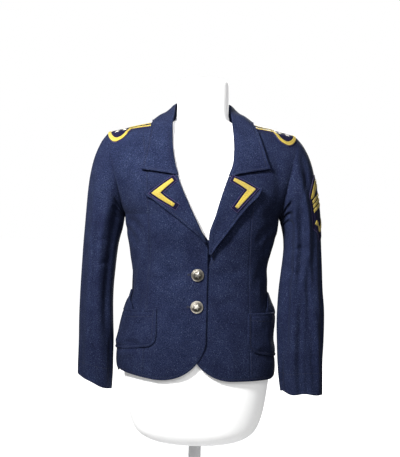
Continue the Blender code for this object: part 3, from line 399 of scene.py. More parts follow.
def facing_out(points, quads):
    """The quads, turned round where the volume that they enclose comes out negative."""
    a, b, c, d = (points[quads[:, corner]] for corner in range(4))
    volume = (np.cross(b - a, c - a) * a).sum() + (np.cross(c - a, d - a) * a).sum()
    return quads[:, ::-1] if volume < 0 else quads


def put_mesh(name, points, quads, uv):
    """A mesh object at the origin from arrays of points, quads and map places, shaded smooth."""
    mesh = bpy.data.meshes.new(name)
    mesh.vertices.add(len(points))
    mesh.vertices.foreach_set("co", np.asarray(points, np.float32).ravel())
    mesh.loops.add(quads.size)
    mesh.loops.foreach_set("vertex_index", quads.ravel().astype(np.int32))
    mesh.polygons.add(len(quads))
    mesh.polygons.foreach_set("loop_start", np.arange(0, quads.size, 4, dtype=np.int32))
    mesh.polygons.foreach_set("use_smooth", np.ones(len(quads), bool))
    layer = mesh.uv_layers.new(name="cloth")
    layer.data.foreach_set("uv", np.asarray(uv, np.float32)[quads.ravel()].ravel())
    mesh.update(calc_edges=True)
    mesh.validate()
    piece = bpy.data.objects.new(name, mesh)
    bpy.context.scene.collection.objects.link(piece)
    return piece


# %% A closed shell from a grid
EDGE_TAPER, THINNEST = (0.25, 0.78), 0.2  # shares of the thickness on the last lines, and the least anywhere


def cloth_map(middle):
    """Distances along the cloth, in metres, across and down the grid."""
    across = np.linalg.norm(np.diff(middle, axis=1), axis=-1)
    down = np.linalg.norm(np.diff(middle, axis=0), axis=-1)
    u = np.concatenate([np.zeros((len(middle), 1)), across.cumsum(axis=1)], axis=1)
    v = np.concatenate([np.zeros((1, middle.shape[1])), down.cumsum(axis=0)], axis=0)
    return np.stack([u - u.mean(), v], axis=-1)


def shell(name, middle, normal, thickness=WALL, closed=False):
    """A closed body round a grid of middle points, half the thickness to each side and less near its edges.

    A closed grid joins its last column to its first. The area of the middle's cells is worked out but not kept.
    """
    rows, columns = middle.shape[:2]
    taper = np.ones((rows, columns))
    for line, left_over in enumerate(EDGE_TAPER):
        taper[[line, -1 - line]] *= left_over
        if not closed:
            taper[:, [line, -1 - line]] *= left_over
    half = (thickness / 2 * np.maximum(taper, THINNEST))[..., None]
    count = rows * columns
    points = np.concatenate([(middle + normal * half).reshape(-1, 3), (middle - normal * half).reshape(-1, 3)])
    outer = grid_quads(rows, columns, closed)
    left = np.arange(columns if closed else columns - 1)
    right = (left + 1) % columns
    last = count - columns
    quads = [outer, (outer + count)[:, ::-1], np.stack([right, left, left + count, right + count], -1),
             np.stack([last + left, last + right, last + right + count, last + left + count], -1)]
    if not closed:
        low = columns * np.arange(rows - 1)
        high = low + columns
        quads.append(np.stack([low, high, high + count, low + count], -1))
        low, high = low + columns - 1, high + columns - 1
        quads.append(np.stack([high, low, low + count, high + count], -1))
    quads = facing_out(points, np.concatenate(quads))
    uv = cloth_map(middle).reshape(-1, 2)
    piece = put_mesh(name, points, quads, np.concatenate([uv, uv]))
    whole = np.concatenate([middle, middle[:, :1]], axis=1) if closed else middle
    cells = np.linalg.norm(np.cross(np.diff(whole, axis=0)[:, :-1], np.diff(whole, axis=1)[:-1]), axis=-1)
    return piece


def dress(piece, slot, *nodes):
    """The piece stands for these nodes, which are hidden, and hangs from the root body; slot is not used."""
    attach(piece, "root")
    if nodes:
        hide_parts(*nodes)
    return piece

# %% [markdown]
# ## Fronts and back
#
# Each front is two panels, joined by a princess seam that runs from the shoulder to the hem. The rows of a panel
# fan out over the rounded corner at the hem, run level to the armpit, and above it stand where the armhole is.
# The same rule is used for the back. Where two panels meet, their rounded edges leave a fine groove, which is
# what a pressed seam looks like, so no line has to be painted.

# %% Outlines of the panels
FAN_ROWS, LEVEL_ROWS, ARMHOLE_ROWS = 30, 62, 72
LAP_FADE_X, LAP_FADE_HEIGHT = (0.020, 0.055), (0.545, 0.610)
HEM_STEPS = (0.0, 0.0075, 0.018)
SETTLING_ROUNDS = 16  # a column's x depends on its height and the other way round, so they are found in turns


def shoulder_height(x):
    """The height at which the shoulder's slope is x from the centre: the smooth table, read backwards."""
    heights = np.linspace(SHOULDER[0, 0], SHOULDER[-1, 0], 400)
    return np.interp(x, column(SHOULDER, 1, heights)[::-1], heights[::-1])


def top_height(x):
    return np.minimum(shoulder_height(np.abs(x)), NECK_HEIGHT)


def hem_height(side, x):
    """The hem, rounded up to the front edge as a quarter of an ellipse."""
    centre, middle = CORNER_CENTRE
    radius, rise = CORNER_RADII
    corner = middle - rise * np.sqrt(np.clip(1 - ((centre - x) / radius) ** 2, 0, 1))
    return np.where(x < centre, corner, np.maximum(column(HEM[side], 1, x), middle - rise))


def front_edge(side, height):
    """Distance from the centre to the front's edge: straight, then along the roll of the lapel."""
    edge = EDGE[side]
    rolled = column(ROLL[side], 1, height) + ROLL_RADIUS + 2 * SEAM
    return np.where(height < edge[-1, 0], np.interp(height, edge[:, 0], edge[:, 1]), rolled)


def lap(side, x, height):
    """How far the wearer's right front lies out over the left one, fading outwards and above the roll's foot."""
    if side == "left":
        return np.zeros_like(x)
    return LAP_LIFT * (1 - smooth_step(*LAP_FADE_X, x)) * (1 - smooth_step(*LAP_FADE_HEIGHT, height))


def outer_edge(side, height):
    level = ARMPIT_HEIGHT - SEAM
    flank = torso_half_width(side, "front", np.minimum(height, level))
    return np.where(height <= level, flank, armhole_x(side, height) - SEAM)


def around(inner, outer, shares):
    """Distances from the centre that are evenly spaced round the body, from inner to outer."""
    start = np.arcsin(np.clip(inner / outer, 0, 1) ** (SQUARENESS / 2))
    return outer * np.sin(mix(start, np.pi / 2, shares)) ** (2 / SQUARENESS)


def panel_grid(place, bottom_of, shares):
    """x and height of a panel's points; place gives x at a height, bottom_of the hem's height at an x."""
    level = ARMPIT_HEIGHT - SEAM
    fan = np.concatenate([HEM_STEPS, np.linspace(HEM_STEPS[-1], 1, FAN_ROWS)[1:]])[:, None]
    middle = mix(CORNER_TOP, level, np.linspace(0, 1, LEVEL_ROWS + 1)[1:, None])
    high = (1 - np.cos(np.linspace(0, np.pi, ARMHOLE_ROWS + 1)[1:, None])) / 2
    x = np.broadcast_to(place(np.full((1, 1), level), shares), (1, len(shares)))
    for _ in range(SETTLING_ROUNDS):
        low, top = mix(bottom_of(x[0]), CORNER_TOP, fan), mix(level, top_height(x[-1]), high)
        height = np.concatenate([low, middle + 0 * shares, top])
        x = place(height, shares)
    return x, height


def sleeve_core(side, angle, share):
    """A point of the sleeve without folds: angle from the inner line over the front, share of the way down."""
    table = SLEEVE[side]
    stations = np.arange(len(table), dtype=float)
    values = curve_through(stations, table, share * stations[-1])
    inner_x, inner_z, outer_x, outer_z, centre_y, half_depth = np.moveaxis(values, -1, 0)
    turn = np.radians(angle)
    out = (1 - np.cos(turn)) / 2
    x, z = mix(inner_x, outer_x, out), mix(inner_z, outer_z, out)
    point = np.stack([x * side_sign(side), centre_y - half_depth * np.sin(turn), z], axis=-1)
    middle = np.stack([(inner_x + outer_x) / 2 * side_sign(side), centre_y, (inner_z + outer_z) / 2], axis=-1)
    return point, middle


def sleeve_normal(side, angle, share):
    step = 1e-3
    turn = sleeve_core(side, angle + 1, share)[0] - sleeve_core(side, angle - 1, share)[0]
    along = sleeve_core(side, angle, share + step)[0] - sleeve_core(side, angle, np.maximum(share - step, 0))[0]
    return unit(np.cross(turn, along)) * -side_sign(side)


def armhole_mitre(side, angle):
    """At the armhole's seam: the direction midway between the body's and the sleeve's."""
    point = sleeve_core(side, angle, np.zeros_like(angle))[0]
    signed, y, height = point[..., 0] - side_sign(side) * SEAM, point[..., 1], point[..., 2]
    front = torso_normal(side, "front", signed, y, height)
    back = torso_normal(side, "back", signed, y, height)
    body = np.where((y < 0)[..., None], front, back)
    return unit(body + sleeve_normal(side, angle, np.zeros_like(angle)))


# %% Make the fronts
SEAM_LEAD, CLOSED = 0.008, 0.00003  # a princess seam is pressed shut
FRONT_COLUMNS, SIDE_COLUMNS, BACK_COLUMNS = 46, 34, 44
ROLL_STAND, ROLL_STAND_WIDTH, ROLL_STAND_END = 0.0016, 0.0060, (0.500, 0.535)


def body_panel(side, face, x, height, lift=0.0, armhole=False):
    """Middle points of a panel's wall and the directions through it."""
    outer, normal = on_torso(side, face, x, height, lift)
    outer[..., 1] += SEAM / 2 * (-1 if face == "front" else 1)
    if armhole:
        angle = np.linspace(0, 180 if face == "front" else -180, ARMHOLE_ROWS + 1)
        normal[-ARMHOLE_ROWS - 1:, -1] = armhole_mitre(side, angle)
    return outer - WALL / 2 * normal, normal


def front_roll(side, distance, height):
    """The wearer's right front stands a little off the left one along its edge, below the lapel."""
    if side == "left":
        return 0 * distance
    below = 1 - smooth_step(*ROLL_STAND_END, height)
    return (ROLL_STAND * np.exp(-((distance / ROLL_STAND_WIDTH) ** 2)) + seamed_edge(distance)) * below


for side in SIDES:
    def centre_place(height, shares, side=side):
        return mix(front_edge(side, height), column(PRINCESS, 1, height) - CLOSED / 2, shares)

    def side_place(height, shares, side=side):
        return around(column(PRINCESS, 1, height) + CLOSED / 2, outer_edge(side, height), shares)

    def bottom_of(x, side=side):
        return hem_height(side, x)

    x, height = panel_grid(centre_place, bottom_of, spread(FRONT_COLUMNS, SEAM_LEAD))
    lift = lap(side, x, height) + front_roll(side, x - front_edge(side, height), height)
    middle, normal = body_panel(side, "front", x, height, lift)
    dress(shell(f"{side}_front_centre", middle, normal), "navy_jersey", f"front_centre_{side}")
    x, height = panel_grid(side_place, bottom_of, spread(SIDE_COLUMNS, SEAM_LEAD))
    middle, normal = body_panel(side, "front", x, height, armhole=True)
    dress(shell(f"{side}_front_side", middle, normal), "navy_jersey", f"front_side_{side}")
    print(side, "front:", middle.shape[0], "rows")

# %% [markdown]
# ## The back
#
# The photograph doesn't show it. A blazer of this cut has a back in one with soft shaping at the waist, so it is
# one shell from side seam to side seam, with drag lines under the arms and across the waist like those in front.

# %% Make the back
halves = []
for side in SIDES:
    def back_place(height, shares, side=side):
        return outer_edge(side, height) * shares

    even = np.linspace(0, 1, BACK_COLUMNS)
    shares = edge_steps(np.sin(np.pi / 2 * even) ** (2 / SQUARENESS), 0.004)
    shares = np.concatenate([[0.0], np.linspace(0, shares[3], 4)[1:-1], shares[3:]])
    x, height = panel_grid(back_place, lambda x: np.full_like(x, BACK_HEM), shares)
    halves.append(body_panel(side, "back", x, height, armhole=True))
(right_middle, right_normal), (left_middle, left_normal) = halves
middle = np.concatenate([right_middle[:, :0:-1], left_middle], axis=1)
normal = np.concatenate([right_normal[:, :0:-1], left_normal], axis=1)
dress(shell("back_panel", middle, normal), "navy_jersey", "back")
print("back:", middle.shape)

# %% [markdown]
# ## Sleeves
#
# A sleeve is a tube of rings between an inner and an outer line. An empty sleeve falls in on itself: long folds
# run down it from the shoulder and short ones cross the inside of the elbow. They are lines on the tube, given
# by an angle (0 is the inner line, 90 the front, 180 the outer line) and a share of the way down.

# %% The folds of the sleeves
DEGREE, SLEEVE_LENGTH = 0.00070, 0.465

# angle, angle's half width, first and last share, depth: the large folds that the solids have as well
LARGE_FOLDS = {
    "right": [(48, 17, 0.10, 0.80, 0.0060), (98, 15, 0.20, 0.85, 0.0025), (140, 14, 0.30, 1.05, 0.0028),
              (236, 18, 0.15, 0.75, 0.0045), (292, 16, 0.25, 0.95, 0.0035)],
    "left": [(44, 16, 0.12, 0.85, 0.0065), (84, 11, 0.25, 1.10, 0.0060), (122, 10, 0.10, 0.70, 0.0035),
             (104, 9, 0.62, 1.10, 0.0040), (232, 18, 0.20, 0.80, 0.0045), (296, 16, 0.30, 0.95, 0.0040)],
}

# angle and share of one end, of the other, bow, half width and depth in metres (a trough is negative)
SMALL_FOLDS = {
    "right": [
        (8, 0.05, 66, 0.15, 0.006, 0.0055, -0.0030), (12, 0.10, 60, 0.23, 0.006, 0.0055, -0.0026),
        (20, 0.17, 56, 0.30, 0.004, 0.0050, -0.0018), (128, 0.04, 112, 0.20, 0.004, 0.0080, -0.0014),
        (74, 0.22, 82, 0.62, 0.004, 0.0070, 0.0016), (118, 0.30, 112, 0.95, -0.003, 0.0075, 0.0015),
        (62, 0.45, 110, 0.49, 0.003, 0.0060, -0.0016), (40, 0.52, 92, 0.55, -0.003, 0.0050, -0.0014),
        (160, 0.34, 156, 0.92, 0.003, 0.0080, -0.0014), (96, 0.78, 60, 0.99, 0.003, 0.0060, -0.0014),
        (28, 0.80, 24, 1.00, 0.002, 0.0070, -0.0018), (352, 0.08, 300, 0.20, 0.006, 0.0060, -0.0030),
        (345, 0.16, 298, 0.30, 0.005, 0.0060, -0.0024), (270, 0.30, 262, 0.75, 0.004, 0.0080, 0.0018),
        (215, 0.35, 208, 0.90, 0.004, 0.0090, -0.0016), (330, 0.50, 285, 0.54, 0.003, 0.0060, -0.0018),
    ],
    "left": [
        (6, 0.05, 70, 0.16, 0.006, 0.0060, -0.0034), (10, 0.10, 62, 0.26, 0.006, 0.0055, -0.0028),
        (22, 0.19, 58, 0.34, 0.004, 0.0050, -0.0020), (134, 0.05, 104, 0.24, 0.004, 0.0080, -0.0016),
        (64, 0.22, 60, 0.85, 0.003, 0.0055, 0.0022), (102, 0.16, 100, 0.58, 0.003, 0.0055, 0.0024),
        (96, 0.50, 124, 0.98, 0.004, 0.0060, -0.0022), (92, 0.52, 70, 0.98, -0.004, 0.0060, 0.0022),
        (114, 0.66, 142, 1.02, 0.003, 0.0065, 0.0018), (148, 0.32, 152, 0.92, 0.003, 0.0070, -0.0020),
        (58, 0.46, 108, 0.50, 0.003, 0.0060, -0.0018), (36, 0.54, 90, 0.57, -0.003, 0.0050, -0.0014),
        (26, 0.76, 20, 1.00, 0.002, 0.0070, -0.0020), (352, 0.08, 302, 0.20, 0.006, 0.0060, -0.0030),
        (345, 0.16, 298, 0.32, 0.005, 0.0060, -0.0024), (268, 0.30, 258, 0.80, 0.004, 0.0080, 0.0018),
        (212, 0.35, 204, 0.90, 0.004, 0.0090, -0.0018), (330, 0.50, 285, 0.54, 0.003, 0.0060, -0.0018),
    ],
}
# how much deeper the small folds are made, and over what share of the way a large one starts and ends
FOLD_DEPTH, FOLD_FADE = {"right": 1.5, "left": 2.1}, 0.12
# how far the cuff's edge waves up and down, and its two waves round the cuff
CUFF_WAVE, CUFF_TURNS, CUFF_SHIFT = {"right": 0.0012, "left": 0.0030}, (3, 5), (20, 75)
SLEEVE_UNEVENNESS = 0.0006


def sleeve_depth(side, angle, share):
    """How far the cloth is pressed in towards the sleeve's middle, large and small folds together."""
    depth = np.zeros(np.broadcast(angle, share).shape)
    for centre, width, first, last, deep in LARGE_FOLDS[side]:
        bell = np.exp(-(((angle - centre) / width) ** 2))
        starts = smooth_step(first - FOLD_FADE, first + FOLD_FADE, share)
        ends = smooth_step(last - FOLD_FADE, last + FOLD_FADE, share)
        depth = depth + deep * bell * (starts * (1 - ends))
    for angle_0, share_0, angle_1, share_1, bow, half_width, deep in SMALL_FOLDS[side]:
        middle_angle = (angle_0 + angle_1) / 2
        near = (angle - middle_angle + 180) % 360 - 180 + middle_angle
        line = along_line(near * DEGREE, share * SLEEVE_LENGTH, angle_0 * DEGREE, share_0 * SLEEVE_LENGTH,
                          angle_1 * DEGREE, share_1 * SLEEVE_LENGTH, bow, half_width)
        depth = depth - FOLD_DEPTH[side] * deep * line
    seam_fade = smooth_step(0.0, 0.05, share)
    slow = SLEEVE_UNEVENNESS * np.sin(np.radians(2 * angle + 400 * share + 40)) * np.sin(9 * share + 1)
    return (depth + slow) * seam_fade


def sleeve_outer(side, angle, share):
    """The outer face of the sleeve with its folds and the wave of its cuff."""
    angle, share = np.broadcast_arrays(np.asarray(angle, float), np.asarray(share, float))
    point, middle = sleeve_core(side, angle, share)
    point = point + unit(middle - point) * sleeve_depth(side, angle, share)[..., None]
    turn = np.radians(angle)
    wave = sum(np.sin(times * turn + shift) for times, shift in zip(CUFF_TURNS, CUFF_SHIFT)) / 2
    point[..., 2] += CUFF_WAVE[side] * wave * smooth_step(0.86, 1.0, share)
    return point


def sleeve_surface(side, angle, share, lift=0.0):
    """Points on the folded sleeve, moved out by lift, and the true directions out of its folds."""
    angle, share = np.broadcast_arrays(np.asarray(angle, float), np.asarray(share, float))
    step = 2e-3
    turn = sleeve_outer(side, angle + 0.8, share) - sleeve_outer(side, angle - 0.8, share)
    along = sleeve_outer(side, angle, share + step) - sleeve_outer(side, angle, np.maximum(share - step, 0))
    normal = unit(np.cross(turn, along)) * -side_sign(side)
    return sleeve_outer(side, angle, share) + normal * np.asarray(lift)[..., None], normal


# %% Make the sleeves
SLEEVE_RINGS, SLEEVE_POINTS = 168, 132

for side in SIDES:
    angle = np.linspace(0, 360, SLEEVE_POINTS, endpoint=False)[None, :]
    share = spread(SLEEVE_RINGS, 0.0022)[:, None] ** 1.06  # rings a little closer at the shoulder
    outer, normal = sleeve_surface(side, angle, share)
    normal[0] = armhole_mitre(side, angle[0])
    middle = outer - WALL / 2 * normal
    dress(shell(f"{side}_sleeve", middle, normal, closed=True), "navy_jersey", f"sleeve_{side}")
    print(side, "sleeve:", middle.shape)

# %% [markdown]
# ## Lapels
#
# A lapel is the front itself, turned back along the roll line. In section it is half a small circle round the
# panel's edge, then cloth that lies nearly flat and stands a little off the chest at its outer edge. Carrying
# that section along the roll gives the whole lapel, and the bow of its top edge is the gorge seam.

# %% The section of a turned-back front
ROLL_TURNS = np.linspace(12, 160, 11)
LAPEL = {
    "right": np.array([
        (529, -10, 531), (550, 6, 545.5), (575, 33, 566.5), (600, 62, 588.5), (625, 88, 607), (642, 103, 616),
        (654.5, 106, 623),
    ]) / 1000,
    "left": np.array([
        (506, 19, 503), (530, 30.5, 520), (560, 46, 542), (590, 66.5, 570), (617, 88, 599), (638, 107, 619),
        (654.5, 114.5, 632),
    ]) / 1000,
}
LAPEL_LIFT = {"right": 0.0066, "left": 0.0088}
GORGE_BOW = {"right": 0.0045, "left": 0.0060}
RIPPLE, RIPPLE_TURNS, RIPPLE_START = 0.0007, 16, {"right": 0.0, "left": 2.0}
LAPEL_STAND = 2.1 * ROLL_RADIUS  # how far the lapel's face stands over the panel beside the roll


def lapel_rise(side, at, share):
    """Height over the panel of the lapel's middle, from the roll (share 0) to the outer edge, which ripples."""
    ripple = RIPPLE * np.sin(RIPPLE_TURNS * at + RIPPLE_START[side])
    return mix(LAPEL_STAND, LAPEL_LIFT[side] + ripple, smooth_step(0.3, 1.0, share)) - WALL / 2


def lapel_rows(side, at):
    """Roll x and height, and outer x and height, at shares of the way up the lapel."""
    stations = np.linspace(0, 1, len(LAPEL[side]))
    roll_height, outer_x, outer_height = curve_through(stations, LAPEL[side], at).T
    return column(ROLL[side], 1, roll_height), roll_height, outer_x, outer_height


def lapel_surface(side, at, shares):
    """Middle points and outward directions: round the roll first, then across the turned-back cloth."""
    roll_x, roll_height, outer_x, outer_height = lapel_rows(side, at)
    share = shares[None, :]
    bow = GORGE_BOW[side] * smooth_step(0.7, 1.0, at)[:, None]
    across = mix(roll_x[:, None] + 2 * ROLL_RADIUS, outer_x[:, None], share)
    height = mix(roll_height[:, None], outer_height[:, None], share) + bow * np.sin(np.pi * share)
    from_edge = (1 - share) * np.hypot(outer_x - roll_x, outer_height - roll_height)[:, None]
    rise = lapel_rise(side, at[:, None], share) + seamed_edge(from_edge)
    flat, flat_normal = on_torso(side, "front", across, height, rise + lap(side, across, height))
    edge_lift = lap(side, roll_x, roll_height) - WALL / 2
    edge, normal = on_torso(side, "front", roll_x + ROLL_RADIUS, roll_height, edge_lift)
    outward = flat[:, 0] - edge
    outward = unit(outward - (outward * normal).sum(axis=-1, keepdims=True) * normal)
    turns = np.radians(ROLL_TURNS)[None, :, None]
    spoke = -np.sin(turns) * outward[:, None] - np.cos(turns) * normal[:, None]
    rolled = edge[:, None] + ROLL_RADIUS * (normal[:, None] + spoke)
    return np.concatenate([rolled, flat], axis=1), np.concatenate([spoke, flat_normal], axis=1)


# %% Make the lapels
for side in SIDES:
    at, shares = spread(90, 0.004), spread(54, 0.010)[2:]
    middle, normal = lapel_surface(side, at, np.concatenate([[0.0], shares[1:]]))
    dress(shell(f"{side}_lapel", middle, normal), "navy_jersey", f"lapel_{side}")
    print(side, "lapel:", middle.shape)

# %% [markdown]
# ## Collar
#
# The collar is one leaf with its stand. Five lines run along it from the gorge in front round to the centre
# back: its base in the neck seam, the fold, the crest just past the fold, the middle of the fall and the outer
# edge. Every section is a smooth curve through the five, so the fold stays soft and the points lie flat.

# %% Make the collar
# x, y and height of the fold, then of the middle of the fall, from the gorge round to the centre back
COLLAR_SIDE = np.array([
    (59.5, -58, 759, 82, -48, 765), (58, -36, 774, 81, -26, 777), (56.5, -6, 787, 79.5, 2, 783),
    (56.5, 26, 798.5, 76.5, 36, 783), (50, 54, 808.5, 61, 77, 783), (0, 70, 813, 0, 92.5, 783),
]) / 1000
# x and height of the collar's outer edge: seven rows on the front, then three on the back
COLLAR_EDGE = {
    "right": np.array([
        (114.4, 665), (110.5, 684), (105, 708), (101.8, 735), (99.8, 748), (98, 756), (97.2, 760.6), (93, 747),
        (60, 733), (0, 729),
    ]) / 1000,
    "left": np.array([
        (131.2, 671), (125, 686), (119.2, 706), (110.5, 733), (104, 747), (100.2, 755), (98.2, 760.4),
        (93, 747), (60, 733), (0, 729),
    ]) / 1000,
}
COLLAR_FRONT_ROWS = 7
COLLAR_SIDE_BASES = (0.7500, 0.7630)
COLLAR_FRONT_HEIGHTS = np.array([0.6556, 0.6800, 0.7080, 0.7330])
COLLAR_LIFTS = (0.0078, 0.0078, 0.0074, 0.0066, 0.0056, 0.0048, 0.0052, 0.0080, 0.0080, 0.0078)
COLLAR_TURN, COLLAR_CENTRE_Y = 0.004, 0.004
CREST_STAND, FALL_STAND, FALL_SHARE = 2.25 * ROLL_RADIUS, 2.4 * ROLL_RADIUS, 0.55
FRONT_TUCK, NECK_TUCK, NECK_RISE = 0.0006, 0.0012, 0.0022  # how far the base lies inside and over the neck seam
# shares across the collar of its five lines
COLLAR_LINES = np.array([0.0, 0.22, 0.32, 0.66, 1.0])
CHEST_CENTRE = (0, 0, 0.70)


def front_section(side, row):
    """Base, fold, crest and fall of the collar beside the roll."""
    roll_height = COLLAR_FRONT_HEIGHTS[row]
    roll_x = column(ROLL[side], 1, roll_height)
    base, normal = on_torso(side, "front", roll_x + ROLL_RADIUS, roll_height, -WALL / 2)
    edge_x, edge_height = COLLAR_EDGE[side][row]
    edge = on_torso(side, "front", edge_x, edge_height, COLLAR_LIFTS[row])[0]
    outward = unit(edge - base)
    fold = base + ROLL_RADIUS * (normal - outward)
    crest = base + CREST_STAND * normal + COLLAR_TURN * outward
    fall_x, fall_height = mix(roll_x, edge_x, FALL_SHARE), mix(roll_height, edge_height, FALL_SHARE)
    fall = on_torso(side, "front", fall_x, fall_height, FALL_STAND)[0]
    return base - FRONT_TUCK * outward, fold, crest, fall


def neck_section(side, row):
    """Base, fold, crest and fall of the collar round the neck."""
    sign, number = side_sign(side), row - len(COLLAR_FRONT_HEIGHTS)
    fold_x, fold_y, fold_z, fall_x, fall_y, fall_z = COLLAR_SIDE[number]
    fold, fall = np.array([sign * fold_x, fold_y, fold_z]), np.array([sign * fall_x, fall_y, fall_z])
    turn = np.arctan2(fold_y - COLLAR_CENTRE_Y, fold_x)
    neck_x = column(SHOULDER, 1, NECK_HEIGHT) * np.cos(turn)
    base_y = torso_y(side, "back" if turn > 0 else "front", np.array(neck_x), np.array(NECK_HEIGHT))
    base = np.array([sign * neck_x, base_y + NECK_TUCK * np.sign(turn), NECK_HEIGHT + NECK_RISE])
    outward = unit((fall - fold) * (1, 1, 0.2))
    if number < len(COLLAR_SIDE_BASES):
        low = np.array(COLLAR_SIDE_BASES[number])
        base, normal = on_torso(side, "front", column(ROLL[side], 1, low) + ROLL_RADIUS, low, -WALL / 2)
        base = base - NECK_TUCK * outward + 0.0008 * normal
    return base, fold, fold + 0.0050 * outward + np.array([0, 0, 0.0006]), fall


def collar_half(side, at, shares):
    """Rows of the collar from its front end (0) to the centre back (1): stand, fold and fall."""
    lines = []
    for row, (edge_x, edge_height) in enumerate(COLLAR_EDGE[side]):
        face = "front" if row < COLLAR_FRONT_ROWS else "back"
        edge = on_torso(side, face, max(edge_x, 1e-6), edge_height, COLLAR_LIFTS[row])[0]
        section = front_section if row < len(COLLAR_FRONT_HEIGHTS) else neck_section
        lines.append([*section(side, row), edge])
    lines = np.moveaxis(np.array(lines, float), 1, 0)
    stations = np.linspace(0, 1, lines.shape[1])
    drawn = np.stack([curve_through(stations, line, at) for line in lines])
    return np.moveaxis(curve_through(COLLAR_LINES, drawn, shares), 0, 1)


def collar_relief(half):
    """The pressed edges of the collar: along its outer edge, and across its front end."""
    across = np.linalg.norm(np.diff(half, axis=1), axis=-1)
    from_edge = np.pad(across[:, ::-1].cumsum(axis=1)[:, ::-1], ((0, 0), (0, 1)))
    from_end = np.pad(np.linalg.norm(np.diff(half, axis=0), axis=-1).cumsum(axis=0), ((1, 0), (0, 0)))
    on_fall = smooth_step(0.30, 0.42, collar_shares)
    relief = seamed_edge(np.minimum(from_edge, from_end)) * on_fall
    normal = grid_normal(half, half - np.array(CHEST_CENTRE))
    return half + normal * relief[..., None]


# the rows lie close by the front end's edge, and the columns by the fold and the outer edge
collar_at = np.concatenate([[0.0, 0.0030, 0.0060, 0.0095, 0.0130, 0.0165, 0.0205, 0.0260],
                            np.linspace(0.0260, 1, 62)[1:]])
collar_shares = np.concatenate([np.linspace(0, 0.20, 7), np.linspace(0.20, 0.34, 11)[1:],
                                np.linspace(0.34, 0.84, 19)[1:], np.linspace(0.84, 0.98, 13)[1:], [0.991, 1.0]])
right_half = collar_relief(collar_half("right", collar_at, collar_shares))
left_half = collar_relief(collar_half("left", collar_at, collar_shares))
collar_middle = np.concatenate([right_half, left_half[-2::-1]])
collar_normal = grid_normal(collar_middle, collar_middle - np.array(CHEST_CENTRE))
dress(shell("collar_leaf", collar_middle, collar_normal), "navy_jersey", "collar")
print("collar:", collar_middle.shape)

# %% [markdown]
# ## Patch pockets
#
# A patch pocket is a flat piece sewn down on three sides. Its fourth side, the mouth, hangs open where it is
# caught in the side seam, so its lift over the panel grows from nothing at the bottom to the mouth. It has its
# own creases: a hand has pulled it out of shape.

# %% Make the pockets
POCKETS = {
    "right": {"inner": 0.0785, "mouth": (0.398, 0.391), "bottom": (0.327, 0.315), "corner": 0.018},
    "left": {"inner": 0.0950, "mouth": (0.3935, 0.3915), "bottom": (0.320, 0.306), "corner": 0.024},
}
POCKET_SLACK, POCKET_ROUNDS, DEEPEST_IN_POCKET = 0.0008, 12, 0.0010
POCKET_WIDTH, POCKET_DEPTH, RIM_RELIEF = 0.062, 0.074, 0.9
# share across and up of a crease's two ends, bow, half width as a share, depth in metres
POCKET_CREASES = {
    "right": [(0.05, 0.98, 0.34, 0.56, 0.03, 0.07, -0.0016), (0.30, 1.00, 0.52, 0.40, 0.04, 0.08, 0.0016),
              (0.62, 0.90, 0.80, 0.30, -0.04, 0.09, -0.0018), (0.50, 0.10, 0.96, 0.24, 0.03, 0.08, 0.0014)],
    "left": [(0.90, 0.98, 0.66, 0.52, 0.03, 0.08, -0.0018), (0.10, 0.94, 0.36, 0.66, -0.03, 0.08, 0.0014),
             (0.58, 0.16, 0.95, 0.40, 0.04, 0.08, -0.0018), (0.50, 0.62, 0.62, 0.14, 0.03, 0.09, 0.0014)],
}


def pocket_lines(side, shares, up):
    """x and height of the pocket's points: shares across from its inner edge, up from its bottom."""
    size = POCKETS[side]
    height = mix(np.full_like(shares, 0.36), 0.36, up)
    for _ in range(POCKET_ROUNDS):
        half_width = torso_half_width(side, "front", height)
        x = around(size["inner"] + 0 * height, half_width, shares)
        reach = (x - size["inner"]) / (half_width - size["inner"])
        across = np.clip((x - size["inner"]) / size["corner"], 0, 1)
        round_off = size["corner"] * (1 - np.sqrt(1 - (1 - across) ** 2))
        height = mix(mix(*size["bottom"], reach) + round_off, mix(*size["mouth"], reach), up)
    return x, height


def pocket_outer(side, shares, up, extra=0.0):
    """The pocket's outer face: lifted towards its mouth and the side seam, with its own creases."""
    shares, up = np.broadcast_arrays(shares, up)
    x, height = pocket_lines(side, shares, up)
    stand = SIDE_GAPE[side] * smooth_step(0.25, 1.0, up) * np.sin(np.pi / 2 * shares)
    own_gape = gape(side, x, torso_y(side, "front", x, height), height)
    loose = POCKET_SLACK * np.clip(up * 5, 0, 1)
    lift = 2 * SEAM + WALL + np.maximum(stand, own_gape + loose) - own_gape
    free = smooth_step(0.0, 0.18, up) * smooth_step(0.0, 0.16, shares)
    crease = sum(deep * along_line(shares, up, *ends, bow, wide)
                 for *ends, bow, wide, deep in POCKET_CREASES[side])
    rim = np.minimum(np.minimum(shares * POCKET_WIDTH, up * POCKET_DEPTH), (1 - up) * POCKET_DEPTH)
    extra = extra + RIM_RELIEF * seamed_edge(rim)
    lift = lift + np.maximum(crease * free, -DEEPEST_IN_POCKET) + extra
    outer, normal = on_torso(side, "front", x, height, lift)
    outer[..., 1] -= SEAM / 2
    return outer, normal


for side in SIDES:
    across, up = spread(70, 0.010)[None, :], spread(78, 0.010)[:, None]
    outer, normal = pocket_outer(side, across, up)
    middle = outer - WALL / 2 * normal
    dress(shell(f"{side}_pocket", middle, normal), "navy_jersey", f"pocket_{side}")
    print(side, "pocket:", middle.shape)

# %% [markdown]
# ## Facing and pocket ears
#
# Two small pieces of cloth close what would be holes. The facing of the left front lies behind the place where
# both fronts meet, so the form doesn't shine through the point of the V. And where a pocket's mouth is caught in
# the side seam, its edge stands off the coat as a narrow ear with a dark hollow behind it.

